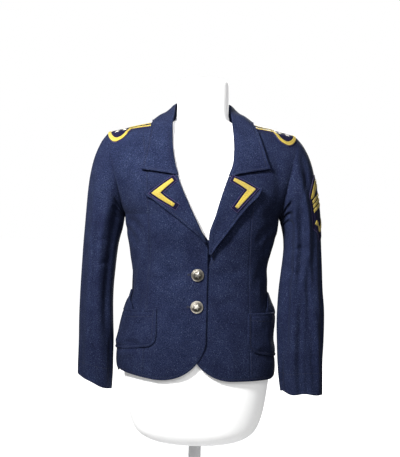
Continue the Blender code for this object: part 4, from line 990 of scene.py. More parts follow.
# %% Make the facing and the ears
FACING_BACK, FACING_X, FACING_BOTTOM = 0.0012, (0.004, 0.031), 0.4840
FACING_POINT, FACING_SLOPE = (0.0165, 0.5310), 1.3
EAR_ANGLES, EAR_HEIGHTS, EAR_STAND = (-0.50, 0.10), (0.3895, 0.4330), {"right": 0.0052, "left": 0.0058}
EAR_WALL, EAR_DROP, EAR_TAPER = 0.0012, 0.004, 0.75

across, up = spread(14, 0.02)[None, :], spread(18, 0.02)[:, None]
x = mix(*FACING_X, across) + 0 * up
top = FACING_POINT[1] + FACING_SLOPE * np.abs(x - FACING_POINT[0])
height = mix(FACING_BOTTOM + 0 * top, top, up)
outer, normal = on_torso("left", "front", x, height, -WALL - FACING_BACK)
dress(shell("left_facing", outer - WALL / 2 * normal, normal), "navy_jersey")


def flank(side, angle, height, lift):
    """Points round the side seam: a negative angle is in front of it, a positive one behind it."""
    x = torso_half_width(side, "front", height) * np.cos(angle) ** (2 / SQUARENESS)
    front, front_normal = on_torso(side, "front", x, height, lift)
    back, back_normal = on_torso(side, "back", x, height, lift)
    ahead = (angle < 0)[..., None]
    normal = unit(np.where(ahead, front_normal, back_normal) + (side_sign(side), 0, 0))
    return np.where(ahead, front, back), normal


for side in SIDES:
    share, up = spread(22, 0.02)[None, :], spread(26, 0.02)[:, None]
    angle = mix(EAR_ANGLES[0] * (1 - EAR_TAPER * up), EAR_ANGLES[1], share)
    height = mix(*EAR_HEIGHTS, up) - EAR_DROP * up * share
    stand = EAR_STAND[side] * (1 - up) ** 0.6 * np.cos(np.pi / 2 * share) ** 0.8
    outer, normal = flank(side, angle, height, stand + EAR_WALL + SEAM)
    dress(shell(f"{side}_pocket_ear", outer - EAR_WALL / 2 * normal, normal, EAR_WALL), "navy_jersey")
print("facing and two ears")

# %% [markdown]
# ## Ribbons, threads and stitches
#
# Gold stripes, piping and stitches are all something small laid along a path on the cloth. The path is drawn in
# the plane (a plan), and a place function puts each plan point on its cloth. So the same three tools serve the
# lapels, the shoulders and the sleeve. A ribbon is domed, as satin stitch over padding is.

# %% Things laid along a path
THREAD_SIDES, STITCH_SIDES = 8, 6
ASIDE = np.array([0.12, -0.35, 0.93])  # no seam runs this way, so it gives every thread a side
STITCH_LENGTH, STITCH_PITCH, STITCH_RADIUS = 0.0030, 0.0041, 0.00036
# share of the way along a stitch, and its width there
SPINDLE = np.array([(0.0, 0.15), (0.14, 0.8), (0.5, 1.0), (0.86, 0.8), (1.0, 0.15)])


def strip_frame(path):
    """For each point of a plane path, the offset to its side that keeps an even width at corners (a mitre)."""
    ahead = unit(np.diff(path, axis=0))
    ahead = np.concatenate([ahead[:1], ahead, ahead[-1:]])
    square = np.stack([-ahead[:, 1], ahead[:, 0]], axis=1)
    mitre = unit(square[:-1] + square[1:])
    return mitre / np.maximum((mitre * square[1:]).sum(axis=1, keepdims=True), 0.45)


def finer(path, count):
    """The path's straight runs, each cut into count parts."""
    parts = [mix(first, second, np.linspace(0, 1, count, endpoint=False)[:, None])
             for first, second in zip(path[:-1], path[1:])]
    return np.concatenate([*parts, path[-1:]])


def ribbon(name, place, path, half_width, lift, thickness, dome=0.45, across=9):
    """A flat strip along a plane path: its top is domed, and its last rows and columns are rounded."""
    share = edge_steps(np.linspace(-1, 1, across) / 2 + 0.5, 0.06) * 2 - 1
    plan = path[:, None] + strip_frame(path)[:, None] * half_width * share[None, :, None]
    height = thickness * (1 - dome * share**2)
    bottom, normal = place(plan[..., 0], plan[..., 1], lift)
    middle = bottom + normal * (height / 2)[None, :, None]
    return shell(name, middle, normal, thickness * (1 - dome / 3))


def distance_along(points):
    return np.concatenate([[0], np.linalg.norm(np.diff(points, axis=0), axis=1).cumsum()])


def ring_round(ahead, sides):
    """Unit directions square to each direction ahead, evenly round it."""
    first = unit(np.cross(ahead, ASIDE))
    second = np.cross(ahead, first)
    turn = np.linspace(0, 2 * np.pi, sides, endpoint=False)[None, :, None]
    return np.cos(turn) * first[:, None] + np.sin(turn) * second[:, None]


def tube(points, radius, closed=False):
    """Points, quads and map of a round thread through a line of points."""
    ahead = np.roll(points, -1, axis=0) - np.roll(points, 1, axis=0) if closed else np.gradient(points, axis=0)
    ring = points[:, None] + np.asarray(radius).reshape(-1, 1, 1) * ring_round(unit(ahead), THREAD_SIDES)
    rows, start = len(points), np.arange(THREAD_SIDES)
    if closed:
        last = (rows - 1) * THREAD_SIDES + start
        joint = np.stack([last, np.roll(last, -1), np.roll(start, -1), start], -1)
        quads = np.concatenate([grid_quads(rows, THREAD_SIDES, True), joint])
    else:
        quads = barrel_quads(rows, THREAD_SIDES)
    flat = ring.reshape(-1, 3)
    uv = np.stack(np.broadcast_arrays(start / (THREAD_SIDES - 1) * 0.002, distance_along(points)[:, None]), -1)
    return flat, facing_out(flat, quads), uv.reshape(-1, 2)


def joined(name, parts):
    """One mesh object from several sets of points, quads and map."""
    points, quads, uvs = zip(*parts)
    offsets = np.cumsum([0, *map(len, points[:-1])])
    quads = [part + offset for part, offset in zip(quads, offsets)]
    return put_mesh(name, np.concatenate(points), np.concatenate(quads), np.concatenate(uvs))


def evenly(points, step):
    """A line's points at even distances, about step apart."""
    length = distance_along(points)
    count = max(2, int(round(length[-1] / step)) + 1)
    at = np.linspace(0, length[-1], count)
    return np.stack([np.interp(at, length, points[:, axis]) for axis in range(3)], axis=1)


def stitches(points):
    """Every stitch along a line on the cloth: a short spindle, thin where it dives at both ends."""
    line = evenly(points, STITCH_PITCH / 4)
    count = (len(line) - 4) // 4
    start = line[np.arange(count) * 4]
    run = (line[np.arange(count) * 4 + 3] - start) * (STITCH_LENGTH / (0.75 * STITCH_PITCH))
    share, width = SPINDLE.T
    centre = start[:, None] + run[:, None] * share[None, :, None]
    ring = ring_round(unit(run), STITCH_SIDES)[:, None]
    points = (centre[:, :, None] + STITCH_RADIUS * width[None, :, None, None] * ring).reshape(-1, 3)
    size = len(SPINDLE) * STITCH_SIDES
    one = facing_out(points[:size] - points[0], barrel_quads(len(SPINDLE), STITCH_SIDES))
    quads = (one[None] + size * np.arange(count)[:, None, None]).reshape(-1, 4)
    return points, quads, np.zeros((len(points), 2))

# %% [markdown]
# ## Chevrons on the lapels
#
# Each lapel carries a rank patch: a gold V of satin stitch on a dark backing with an overlocked edge. The V runs
# along five given points, and the backing is the same path, wider. Both lie on the lapel's own slope.

# %% Make the chevron patches
# distance from the centre and height of five points: an end, a middle, the tip, a middle and the other end
CHEVRON = {
    "right": [(0.0529, 0.6463), (0.0679, 0.6343), (0.0832, 0.6208), (0.0698, 0.6112), (0.0489, 0.5986)],
    "left": [(0.0613, 0.6491), (0.0775, 0.6411), (0.0938, 0.6312), (0.0795, 0.6142), (0.0662, 0.5970)],
}
CHEVRON_TIP_HALF_WIDTH, CHEVRON_END_HALF_WIDTH, BACKING_MARGIN = 0.0053, 0.0030, 0.0036
BACKING_THICKNESS, GOLD_THICKNESS, PIPING_RADIUS = 0.0008, 0.0013, 0.0006
OVER_ROLL, OVER_ROLL_FADE = 0.0009, (0.004, 0.014)  # a patch rides over the seam roll of the lapel's edge


def lapel_place(side):
    """The place function of a lapel: plan points are the distance from the centre and the height."""
    at = np.linspace(0, 1, 161)
    roll_x, roll_height, outer_x, outer_height = lapel_rows(side, at)
    start_x = roll_x + 2 * ROLL_RADIUS
    span_x, span_height = outer_x - start_x, outer_height - roll_height

    def place(x, height, lift):
        out_x, up = x[..., None] - start_x, height[..., None] - roll_height
        share = np.clip((out_x * span_x + up * span_height) / (span_x**2 + span_height**2), 0, 1)
        miss = (out_x - share * span_x) ** 2 + (up - share * span_height) ** 2
        nearest = miss.argmin(axis=-1)[..., None]
        share = np.take_along_axis(share, nearest, axis=-1)[..., 0]
        nearest = nearest[..., 0]
        from_edge = (1 - share) * np.hypot(span_x, span_height)[nearest]
        over_roll = OVER_ROLL * (1 - smooth_step(*OVER_ROLL_FADE, from_edge))
        rise = lapel_rise(side, at[nearest], share) + WALL / 2 + over_roll
        return on_torso(side, "front", x, height, rise + lap(side, x, height) + lift)

    return place


def rounded_path(path, count):
    """A smooth path through listed points that keeps the middle one, the chevron's tip, as a corner."""
    half = len(path) // 2
    stations = np.arange(half + 1, dtype=float)
    at = np.linspace(0, half, count)
    return np.concatenate([curve_through(stations, path[: half + 1], at),
                           curve_through(stations, path[half:], at)[1:]])


for side in SIDES:
    place = lapel_place(side)
    path = rounded_path(np.array(CHEVRON[side]), 22)
    longer = np.concatenate([[2 * path[0] - path[3]], path, [2 * path[-1] - path[-4]]])
    from_tip = np.abs(np.linspace(-1, 1, len(path)))[:, None, None]
    half_width = mix(CHEVRON_TIP_HALF_WIDTH, CHEVRON_END_HALF_WIDTH, from_tip)
    wide = half_width + BACKING_MARGIN
    wide = np.concatenate([wide[:1], wide, wide[-1:]])
    backing = ribbon(f"{side}_chevron_backing", place, longer, wide, 0.0001, BACKING_THICKNESS, 0.05, 13)
    gold = ribbon(f"{side}_chevron_gold", place, path, half_width, BACKING_THICKNESS + SEAM, GOLD_THICKNESS,
                  across=13)
    rims = [longer + strip_frame(longer) * wide[:, 0] * way for way in (1, -1)]
    # inside the corner the rim would cross itself, so points that come too near the path are left out
    nearness = [np.linalg.norm(rim[:, None] - longer, axis=-1).min(axis=1) for rim in rims]
    rims = [rim[near > 0.94 * wide[:, 0, 0]] for rim, near in zip(rims, nearness)]
    loop = finer(np.concatenate([rims[0], rims[1][::-1], rims[0][:1]]), 3)[:-1]
    edge, _ = place(loop[:, 0], loop[:, 1], PIPING_RADIUS)
    piping = joined(f"{side}_chevron_piping", [tube(edge, PIPING_RADIUS, closed=True)])
    dress(gold, "gold_trim", f"lapel_chevron_{side}")
    dress(backing, "navy_jersey")
    dress(piping, "navy_jersey")
print("chevron patches on both lapels")

# %% [markdown]
# ## Epaulettes
#
# A shoulder strap with a round lobe at the sleeve end, edged in gold braid, with three small white stars on the
# lobe. It lies on top of the shoulder, where the body's surface is nearly level, so its plan is seen from above
# and each point is dropped onto the shoulder. Halving an interval thirty times finds the height to a hair.

# %% Points on top of the shoulder
STRAP_START, STRAP_HALF_WIDTH = 0.0990, 0.0140
LOBE_FORWARD, STRAP_FORWARD = 0.022, 0.014
LOBE_CENTRE, LOBE_LENGTH, LOBE_HALF_WIDTH, LOBE_END_HALF_WIDTH = 0.1610, 0.0245, 0.0370, 0.006
EPAULETTE_THICKNESS = 0.0020
BRAID_WIDTH, BRAID_THICKNESS, BRAID_INSET = 0.0055, 0.0012, 0.0008
RIDGE_BLEND = (-0.006, 0.006)  # y over which the direction out of the cloth turns from the front's to the back's


def shoulder_place(side):
    def place(x, y, lift):
        forward = LOBE_FORWARD + STRAP_FORWARD * np.clip((LOBE_CENTRE - x) / (LOBE_CENTRE - STRAP_START), 0, 1)
        signed, y = x * side_sign(side), y - forward
        low, high = np.full_like(x, ARMPIT_HEIGHT), np.full_like(x, TORSO[-1, 0])
        for _ in range(30):
            middle = (low + high) / 2
            full = [filling(side, face, signed, y, middle) for face in ("front", "back")]
            inside = np.where(y < 0, *full) < 1
            low, high = np.where(inside, middle, low), np.where(inside, high, middle)
        front, back = (torso_normal(side, face, signed, y, low) for face in ("front", "back"))
        normal = unit(mix(front, back, smooth_step(*RIDGE_BLEND, y)[..., None]))
        return np.stack([signed, y, low], axis=-1) + normal * np.asarray(lift)[..., None], normal

    return place


def epaulette_half_width(x):
    bulge = np.sqrt(np.clip(1 - ((x - LOBE_CENTRE) / LOBE_LENGTH) ** 2, 0, 1)) * LOBE_HALF_WIDTH
    return np.maximum(bulge, np.where(x < LOBE_CENTRE, STRAP_HALF_WIDTH, LOBE_END_HALF_WIDTH))


def braid_path():
    """In plan: out along the strap's front edge, round the lobe and back along the other edge."""
    inset = BRAID_WIDTH / 2 + BRAID_INSET
    half_width = LOBE_HALF_WIDTH - inset
    start = np.arcsin((STRAP_HALF_WIDTH - inset) / half_width)
    turn = np.linspace(np.pi - start, -np.pi + start, 81)
    lobe = np.stack([LOBE_CENTRE + (LOBE_LENGTH - inset) * np.cos(turn), -half_width * np.sin(turn)], axis=1)
    along = np.linspace(STRAP_START, lobe[0, 0], 16)[:-1]
    first = np.stack([along, np.full_like(along, lobe[0, 1])], axis=1)
    return np.concatenate([first, lobe, first[::-1] * (1, -1)])


# size of each ring of a star as a share of its radius, and the ring's height as a share of its own
STAR_RINGS = np.array([(1.0, -0.1), (1.0, 0.45), (0.86, 0.75), (0.5, 0.95), (0.12, 1.0)])
STAR_WAIST = 0.42


def star(place, centre, radius, lift, height, turned):
    """A five-pointed star with a soft ridge along each arm: rings of ten corners, each smaller and higher."""
    corner = np.arange(10)
    angle = np.pi / 2 + turned + corner * np.pi / 5
    reach = np.where(corner % 2 == 0, 1.0, STAR_WAIST)
    rings, heights = STAR_RINGS[:, :1], STAR_RINGS[:, 1:]
    plan_x = centre[0] + radius * rings * reach * np.cos(angle)
    plan_y = centre[1] + radius * rings * reach * np.sin(angle)
    points, _ = place(plan_x, plan_y, lift + height * np.broadcast_to(heights, plan_x.shape))
    flat = points.reshape(-1, 3)
    return flat, facing_out(flat - flat[0], barrel_quads(len(STAR_RINGS), 10)), np.zeros((len(flat), 2))


# %% Make the epaulettes
STARS = [(0.1520, -0.0120), (0.1665, -0.0135), (0.1590, 0.0130)]
STAR_RADIUS, STAR_HEIGHT, STAR_TURN = 0.0046, 0.0010, 0.3
EPAULETTE_TOP = EPAULETTE_THICKNESS + SEAM / 2

for side in SIDES:
    place = shoulder_place(side)
    strap = np.linspace(STRAP_START, LOBE_CENTRE - LOBE_LENGTH, 22)[:-1]
    lobe = np.linspace(0.12, np.pi - 0.05, 46)
    x = np.concatenate([strap, LOBE_CENTRE - LOBE_LENGTH * np.cos(lobe)])[:, None]
    y = epaulette_half_width(x) * (spread(34, 0.02) * 2 - 1)
    bottom, normal = place(x + 0 * y, y, SEAM)
    middle = bottom + normal * EPAULETTE_THICKNESS / 2
    ground = shell(f"{side}_epaulette_ground", middle, normal, EPAULETTE_THICKNESS)
    braid = ribbon(f"{side}_epaulette_braid", place, braid_path(), BRAID_WIDTH / 2, EPAULETTE_TOP,
                   BRAID_THICKNESS, across=11)
    rim = np.concatenate([np.stack([x[:, 0], -epaulette_half_width(x[:, 0])], 1),
                          np.stack([x[::-1, 0], epaulette_half_width(x[::-1, 0])], 1)])
    edge, _ = place(rim[:, 0], rim[:, 1], EPAULETTE_THICKNESS * 0.6)
    piping = joined(f"{side}_epaulette_piping", [tube(edge, PIPING_RADIUS, closed=True)])
    stars = joined(f"{side}_epaulette_stars", [
        star(place, centre, STAR_RADIUS, EPAULETTE_TOP, STAR_HEIGHT, STAR_TURN * number)
        for number, centre in enumerate(STARS)])
    dress(ground, "navy_jersey", f"epaulette_{side}")
    dress(braid, "gold_trim", f"epaulette_braid_{side}")
    dress(piping, "navy_jersey")
    dress(stars, "gold_trim")
print("epaulettes with", len(STARS), "stars each")

# %% [markdown]
# ## The badge on the left sleeve
#
# A rank badge wraps round the outside of the wearer's left sleeve: arcs above, bars below them and a V at the
# foot, all gold on a dark shield. Its plan is the sleeve unrolled: distance round it and distance down it.

# %% Make the sleeve badge
BADGE_SPAN, BADGE_ANGLES, BADGE_ARCH, BADGE_TIP = (0.225, 0.475), (120.0, 198.0), 0.045, 0.060
BADGE_THICKNESS, STRIPE_HALF_WIDTH, STRIPE_THICKNESS = 0.0008, 0.0033, 0.0012
BADGE_MIDDLE = sum(BADGE_ANGLES) / 2 * DEGREE
BADGE_HALF = (BADGE_ANGLES[1] - BADGE_ANGLES[0]) / 2 * DEGREE

# distance of each stripe's middle from the badge's top, its rise towards the ends, kind of curve, reach
STRIPES = [(0.012, 0.029, 2, 0.84), (0.0215, 0.020, 2, 0.74), (0.041, 0.000, 2, 0.80), (0.050, 0.000, 2, 0.80),
           (0.059, 0.000, 2, 0.80), (0.098, -0.024, 1, 0.72)]


def place(round_it, down, lift):
    """The place function of the left sleeve: plan points are the distance round it and down it."""
    return sleeve_surface("left", round_it / DEGREE, down / SLEEVE_LENGTH, lift)


up, across = spread(56, 0.012)[:, None], (spread(44, 0.016) * 2 - 1)[None, :]
top, bottom = BADGE_SPAN[0] + BADGE_ARCH * across**2, BADGE_SPAN[1] - BADGE_TIP * np.abs(across)
down = mix(top, bottom, up) * SLEEVE_LENGTH
round_it = BADGE_MIDDLE + BADGE_HALF * across + 0 * up
under, normal = place(round_it, down, SEAM)
shield = shell("left_badge_shield", under + normal * BADGE_THICKNESS / 2, normal, BADGE_THICKNESS)
bars = []
for number, (middle_down, rise, power, reach) in enumerate(STRIPES):
    a = np.linspace(-reach, reach, 45)
    path = np.stack([BADGE_MIDDLE + BADGE_HALF * a,
                     BADGE_SPAN[0] * SLEEVE_LENGTH + middle_down + rise * np.abs(a) ** power], axis=1)
    bars.append(ribbon(f"left_badge_stripe_{number}", place, path, STRIPE_HALF_WIDTH, BADGE_THICKNESS + SEAM,
                       STRIPE_THICKNESS))
rim = np.concatenate([np.stack([round_it[0], down[0]], 1), np.stack([round_it[1:, -1], down[1:, -1]], 1),
                      np.stack([round_it[-1, -2::-1], down[-1, -2::-1]], 1),
                      np.stack([round_it[-2:0:-1, 0], down[-2:0:-1, 0]], 1)])
edge, _ = place(rim[:, 0], rim[:, 1], SEAM + BADGE_THICKNESS * 0.5)
piping = joined("left_badge_piping", [tube(edge, PIPING_RADIUS, closed=True)])
dress(shield, "gold_trim", "sleeve_badge")
for piece in [*bars, piping]:
    dress(piece, "gold_trim")
print("badge with", len(STRIPES), "stripes")

# %% [markdown]
# ## Buttons and buttonholes
#
# Two domed metal buttons close the front. Their relief here is generic: a star in a ring of beads with a rope
# rim. A button is a turned profile whose top is raised by a height map in radius and angle, worked out for all
# points at once. The height is also written into the map, so that the antique finish can stay dark in the
# hollows. The buttonholes are keyholes: a slit, an eye and a ring of purl stitches. Down each slit lies a thin
# near-black tube, painted shade for the opening.

# %% Make the buttons
BUTTON_RADIUS, BUTTON_X, BUTTON_POINTS = 0.0122, 0.0024, 180
BUTTON_HEIGHTS = {"button_upper": 0.4656, "button_lower": 0.4036}
BUTTON_LIFT = LAP_LIFT + 3 * SEAM
STAR_REACH, STAR_SLOPE, STAR_RISE = 0.0072, 0.0016, 0.00055
BEADS, BEAD_PLACE, BEAD_SIZE, BEAD_RISE = 30, 0.0090, 0.0006, 0.00030
ROPE_TURNS, ROPE_PLACE, ROPE_SIZE, ROPE_RISE, ROPE_SLANT = 44, 0.0112, 0.0008, 0.00034, 2600
FULL_SHINE = 0.0006  # the relief at which the antique finish is at its palest
# radius and height: over the dome, then round the rim and under it
DOME = np.array([(0, 5.2), (4.5, 5.0), (8.0, 4.2), (10.0, 3.3), (10.6, 3.3), (11.7, 3.2)]) / 1000
UNDERSIDE = np.array([(12.05, 3.0), (12.2, 2.6), (12.2, 1.8), (12.0, 1.4), (11.0, 0.8), (4.0, 0.6), (3.6, 0.05),
                      (0.05, 0.0)]) / 1000


def button_relief(radius, angle):
    """Star, beads and rope over the dome, in metres."""
    fold = np.abs((angle + np.pi / 5) % (2 * np.pi / 5) - np.pi / 5)
    arm = STAR_REACH * STAR_WAIST / np.maximum(np.cos(fold) * STAR_WAIST + np.sin(fold) * 0.80, 0.2)
    raised = STAR_RISE * np.clip((arm - radius) / STAR_SLOPE, 0, 1)
    ring = np.exp(-(((radius - BEAD_PLACE) / BEAD_SIZE) ** 2))
    bead = BEAD_RISE * np.clip(np.cos(BEADS * angle), 0, 1) * ring
    rope = 0.5 + 0.5 * np.sin(ROPE_TURNS * angle + (radius - ROPE_PLACE) * ROPE_SLANT)
    rope = ROPE_RISE * rope * np.exp(-(((radius - ROPE_PLACE) / ROPE_SIZE) ** 2))
    return raised + bead + rope


def make_button(name, height):
    """Rings from the middle of the dome out to the rim, round it, and in again to the middle of the back."""
    out = np.concatenate([[0.00005], np.linspace(0.0004, DOME[-1, 0], 58)])
    angle = np.linspace(0, 2 * np.pi, BUTTON_POINTS, endpoint=False)[None, :]
    relief = button_relief(out[:, None], angle)
    radius = np.concatenate([out, UNDERSIDE[:, 0]])[:, None]
    dome = np.interp(out, *DOME.T)[:, None] + relief
    level = np.concatenate([dome, UNDERSIDE[:, 1:] + 0 * angle])
    point, normal = on_torso("right", "front", BUTTON_X, height, BUTTON_LIFT)
    x_axis = unit(np.cross((0, 0, 1), normal))
    y_axis = np.cross(normal, x_axis)
    local = np.stack([radius * np.cos(angle), radius * np.sin(angle), level], -1)
    points = (point + local @ np.stack([x_axis, y_axis, normal])).reshape(-1, 3)
    quads = facing_out(points - point, barrel_quads(len(radius), BUTTON_POINTS))
    shine = np.zeros_like(level)
    shine[: len(out)] = relief / FULL_SHINE
    uv = np.stack([shine, radius / BUTTON_RADIUS + 0 * shine], -1).reshape(-1, 2)
    return put_mesh(f"{name}_relief", points, quads, uv)


for name, height in BUTTON_HEIGHTS.items():
    dress(make_button(name, height), "antique_metal", name)
print("two buttons,", BUTTON_RADIUS * 2000, "mm across")

# %% Make the buttonholes
SLIT_START, SLIT_END, EYE_RADIUS, SLIT_HALF, SLIT_RADIUS = 0.0040, 0.0195, 0.0019, 0.0009, 0.00055
PURL_STEP, PURL_RADIUS, PURL_SWELL, PURL_TURN = 0.00022, 0.00075, 0.22, 2.1
EYE_TURN = 2.55  # half of the eye's arc, in radians; the rest of the circle is open to the slit


def front_place(side):
    def place(x, height, lift):
        return on_torso(side, "front", x, height, lap(side, x, height) + lift)

    return place


place = front_place("right")
holes, slits = [], []
for height in BUTTON_HEIGHTS.values():
    eye = np.linspace(-EYE_TURN, EYE_TURN, 30)
    straight = np.linspace(SLIT_START, SLIT_END - EYE_RADIUS, 18)[:-1]
    back = np.linspace(SLIT_END - EYE_RADIUS, SLIT_START, 18)[1:]
    x = np.concatenate([straight, SLIT_END + EYE_RADIUS * np.cos(eye), back])
    z = np.concatenate([np.full(17, -SLIT_HALF), EYE_RADIUS * np.sin(eye), np.full(17, SLIT_HALF)])
    edge = evenly(place(x, height + z, 0.00015)[0], PURL_STEP)
    holes.append(tube(edge, PURL_RADIUS * (1 + PURL_SWELL * np.sin(np.arange(len(edge)) * PURL_TURN))))
    # painted shade: a thin near-black tube down the slit stands for the shadow in its opening
    slit_x = np.linspace(SLIT_START, SLIT_END + 0.0008, 24)
    slits.append(tube(place(slit_x, np.full(24, height), -0.00012)[0], SLIT_RADIUS))
purl_stitches, slit_shadow_tubes = joined("buttonhole_purl", holes), joined("buttonhole_slits", slits)
dress(purl_stitches, "navy_jersey")
dress(slit_shadow_tubes, "navy_jersey")

# %% [markdown]
# ## Topstitching
#
# Rows of stitches run along the edges of the lapels, collar, fronts, hem and pockets, and round the cuffs where
# their hems are caught. Each row is a line on the cloth, cut into even stitches. They are real little spindles
# here, because a close view shows them catch the light, and a whole garment has only some thousand.

# %% Make the stitch rows
EDGE_INSET, CUFF_HEM, BACK_HEM_INSET, PRESS = 0.0052, 0.036, 0.018, 0.00012
GORGE_ROW = 0.965  # share of the lapel's length at which the row beside the gorge lies
PRINCESS_INSET, CORNER_WIDENING = 0.0022, 2.4
rows = []
for side in SIDES:
    # along the lapel's outer edge, up to the row beside the gorge
    at = np.linspace(0.02, 1, 120)
    roll_x, roll_height, outer_x, outer_height = lapel_rows(side, at)
    inset = 1 - EDGE_INSET / np.hypot(outer_x - roll_x, outer_height - roll_height)
    keep = (inset > 0.3) & (at < GORGE_ROW)
    middle, normal = lapel_surface(side, at[keep], np.linspace(0, 1, 101))
    pick = len(ROLL_TURNS) + np.round(inset[keep] * 100).astype(int)
    index = np.arange(len(pick))
    rows.append(middle[index, pick] + normal[index, pick] * (WALL / 2 + PRESS))
    # beside the gorge
    middle, normal = lapel_surface(side, np.array([0.0, GORGE_ROW, 1.0]), np.linspace(0.30, 0.94, 40))
    gorge = slice(len(ROLL_TURNS), None)
    rows.append(middle[1, gorge] + normal[1, gorge] * (WALL / 2 + PRESS))
    # down the front's edge and round the corner into the hem
    edge_z, hem_x = np.linspace(0.515, 0.36, 80), np.linspace(-0.0110, 0.150, 150)
    hem_inset = EDGE_INSET * mix(CORNER_WIDENING, 1.0, smooth_step(-0.0166, 0.012, hem_x))
    hem_z = hem_height(side, hem_x) + hem_inset
    line_x = np.concatenate([front_edge(side, edge_z) + EDGE_INSET, hem_x])
    line_z = np.concatenate([edge_z, hem_z])
    below = np.concatenate([edge_z > hem_z[0], np.ones_like(hem_x, bool)])
    place = front_place(side)
    rows.append(place(line_x[below], line_z[below], PRESS)[0])
    # down the princess seam
    seam_z = np.linspace(0.275, 0.735, 200)
    rows.append(place(column(PRINCESS, 1, seam_z) + PRINCESS_INSET, seam_z, PRESS)[0])
    # round the cuff
    ring = np.linspace(0, 360, 240)
    rows.append(sleeve_surface(side, ring, np.full(240, 1 - CUFF_HEM / SLEEVE_LENGTH), PRESS)[0])
    # down the pocket's inner edge and along its foot, then along its top
    inner, low = np.full(40, 0.055), np.full(60, 0.05)
    way = np.concatenate([np.stack([inner, np.linspace(0.97, 0.16, 40)], 1),
                          np.stack([np.linspace(0.075, 0.97, 60), low], 1)])
    rows.append(pocket_outer(side, way[:, 0], way[:, 1], PRESS)[0])
    rows.append(pocket_outer(side, np.linspace(0.06, 0.98, 60), np.full(60, 0.80), PRESS)[0])
    # along the back's hem
    hem_back = np.linspace(0.002, 0.150, 90)
    rows.append(on_torso(side, "back", hem_back, np.full(90, BACK_HEM + BACK_HEM_INSET), PRESS)[0])
# round the collar's outer edge and its front end
for half in (right_half, left_half):
    stitched = half + grid_normal(half, half - np.array(CHEST_CENTRE)) * (WALL / 2 + PRESS)
    column_at, row_at = np.abs(collar_shares - 0.935).argmin(), np.abs(collar_at - 0.0165).argmin()
    first = np.abs(collar_shares - 0.42).argmin()
    rows.append(stitched[row_at:, column_at])
    rows.append(stitched[row_at, first:column_at])
thread = joined("topstitching", [stitches(row) for row in rows])
dress(thread, "navy_jersey")
count = len(thread.data.vertices) // (len(SPINDLE) * STITCH_SIDES)
print("topstitching:", count, "stitches in", len(rows), "rows")

# %% [markdown]
# ## The dress form and its stand
#
# The form is one smooth loft through level sections, a little finer than its solid. It stays plain: the picture
# shows it nearly burnt out, and it is there to hold the cloth. The pole and the base are turned profiles.

# %% Make the form
# height, half width, depth of the front, of the back
FORM = np.array([
    (128, 45, 40, 40), (130, 70, 58, 60), (136, 93, 74, 77), (147, 112, 86, 90), (162, 124, 93, 98),
    (190, 134, 97, 104), (230, 141, 100, 108), (270, 145, 101, 109), (310, 144, 100, 107), (350, 137, 97, 101),
    (390, 126.5, 93, 93), (430, 124, 89, 85), (465, 124, 88, 81), (500, 128, 92, 80), (540, 135, 103, 86),
    (580, 140, 112, 94), (612, 143, 115, 98), (640, 146, 112, 100), (665, 150, 106, 99), (690, 155, 97, 95),
    (712, 161, 86, 89), (725, 164, 77, 82), (735, 163, 69, 75), (742, 156, 62, 70), (747, 138, 57, 66),
    (752, 117, 53, 62), (757, 96, 50, 58), (762, 74, 49, 55), (768, 57, 49, 53.5), (776, 53, 49, 52),
    (790, 52, 50, 52), (840, 52, 50, 52), (848, 48, 46, 48), (852, 40, 38, 40), (853, 30, 28, 30),
]) / 1000
FORM_SIDES, FORM_SHRINK = 128, 0.0006
BASE_RADIUS, BASE_THICKNESS, BASE_BEVEL, POLE_RADIUS, FORM_BOTTOM = 0.150, 0.012, 0.004, 0.0125, 0.128


def closed_rings(name, points):
    """A body through rings of points, closed by a flat fan at both ends."""
    count, sides = points.shape[:2]
    flat = points.reshape(-1, 3)
    return put_mesh(name, flat, facing_out(flat, barrel_quads(count, sides)), flat[:, [0, 2]])


stations = np.arange(len(FORM), dtype=float)
height, half_width, front, back = curve_through(stations, FORM, np.linspace(0, stations[-1], 240)).T[:, :, None]
turn = np.linspace(0, 2 * np.pi, FORM_SIDES, endpoint=False)
depth = np.where(np.sin(turn) < 0, front, back) - FORM_SHRINK
power = 2 / SQUARENESS
form_x = (half_width - FORM_SHRINK) * np.sign(np.cos(turn)) * np.abs(np.cos(turn)) ** power
form_y = depth * np.sign(np.sin(turn)) * np.abs(np.sin(turn)) ** power
form = closed_rings("form_smooth", np.stack([form_x, form_y, height + 0 * form_x], -1))
dress(form, "form_shell", "form_body")


def turned(name, profile, sides=96):
    """A profile of radius and height, turned about the upright axis; two close rings hold each corner."""
    profile, shares = np.array(profile), np.array([0.0, 0.04, 0.5, 0.96])[:, None]
    runs = [mix(low, high, shares) for low, high in zip(profile[:-1], profile[1:])]
    rings = np.concatenate([*runs, profile[-1:]])
    turn = np.linspace(0, 2 * np.pi, sides, endpoint=False)
    radius, height = np.maximum(rings[:, :1], 0.0002), rings[:, 1:]
    return closed_rings(name, np.stack([radius * np.cos(turn), radius * np.sin(turn), height + 0 * turn], -1))


base = turned("stand_base", [(0.0, BASE_THICKNESS), (BASE_RADIUS - BASE_BEVEL, BASE_THICKNESS),
                             (BASE_RADIUS - 0.0012, BASE_THICKNESS - 0.0012),
                             (BASE_RADIUS, BASE_THICKNESS - BASE_BEVEL), (BASE_RADIUS, 0.0), (0.0, 0.0)])
top = BASE_THICKNESS + SEAM
pole = turned("stand_pole", [(0.0, FORM_BOTTOM - SEAM), (POLE_RADIUS, FORM_BOTTOM - SEAM),
                             (POLE_RADIUS, top + 0.020), (0.0150, top + 0.0165), (0.022, top + 0.014),
                             (0.028, top + 0.004), (0.030, top), (0.0, top)], 64)
dress(base, "stand_steel", "form_base")
dress(pole, "stand_steel", "form_pole")
print("form, pole and base")

# %% [markdown]
# ## Materials
#
# Navy jersey is a heather: dark and light fibres spun together, so the colour itself is speckled at a millimetre
# and cloudy at a few centimetres. A noise in object space gives both without a seam between pieces. The knit's
# fine ribs follow each piece's own map. A little sheen gives the pale edge of brushed jersey where it turns away
# from the light.

# %% Helpers for node trees


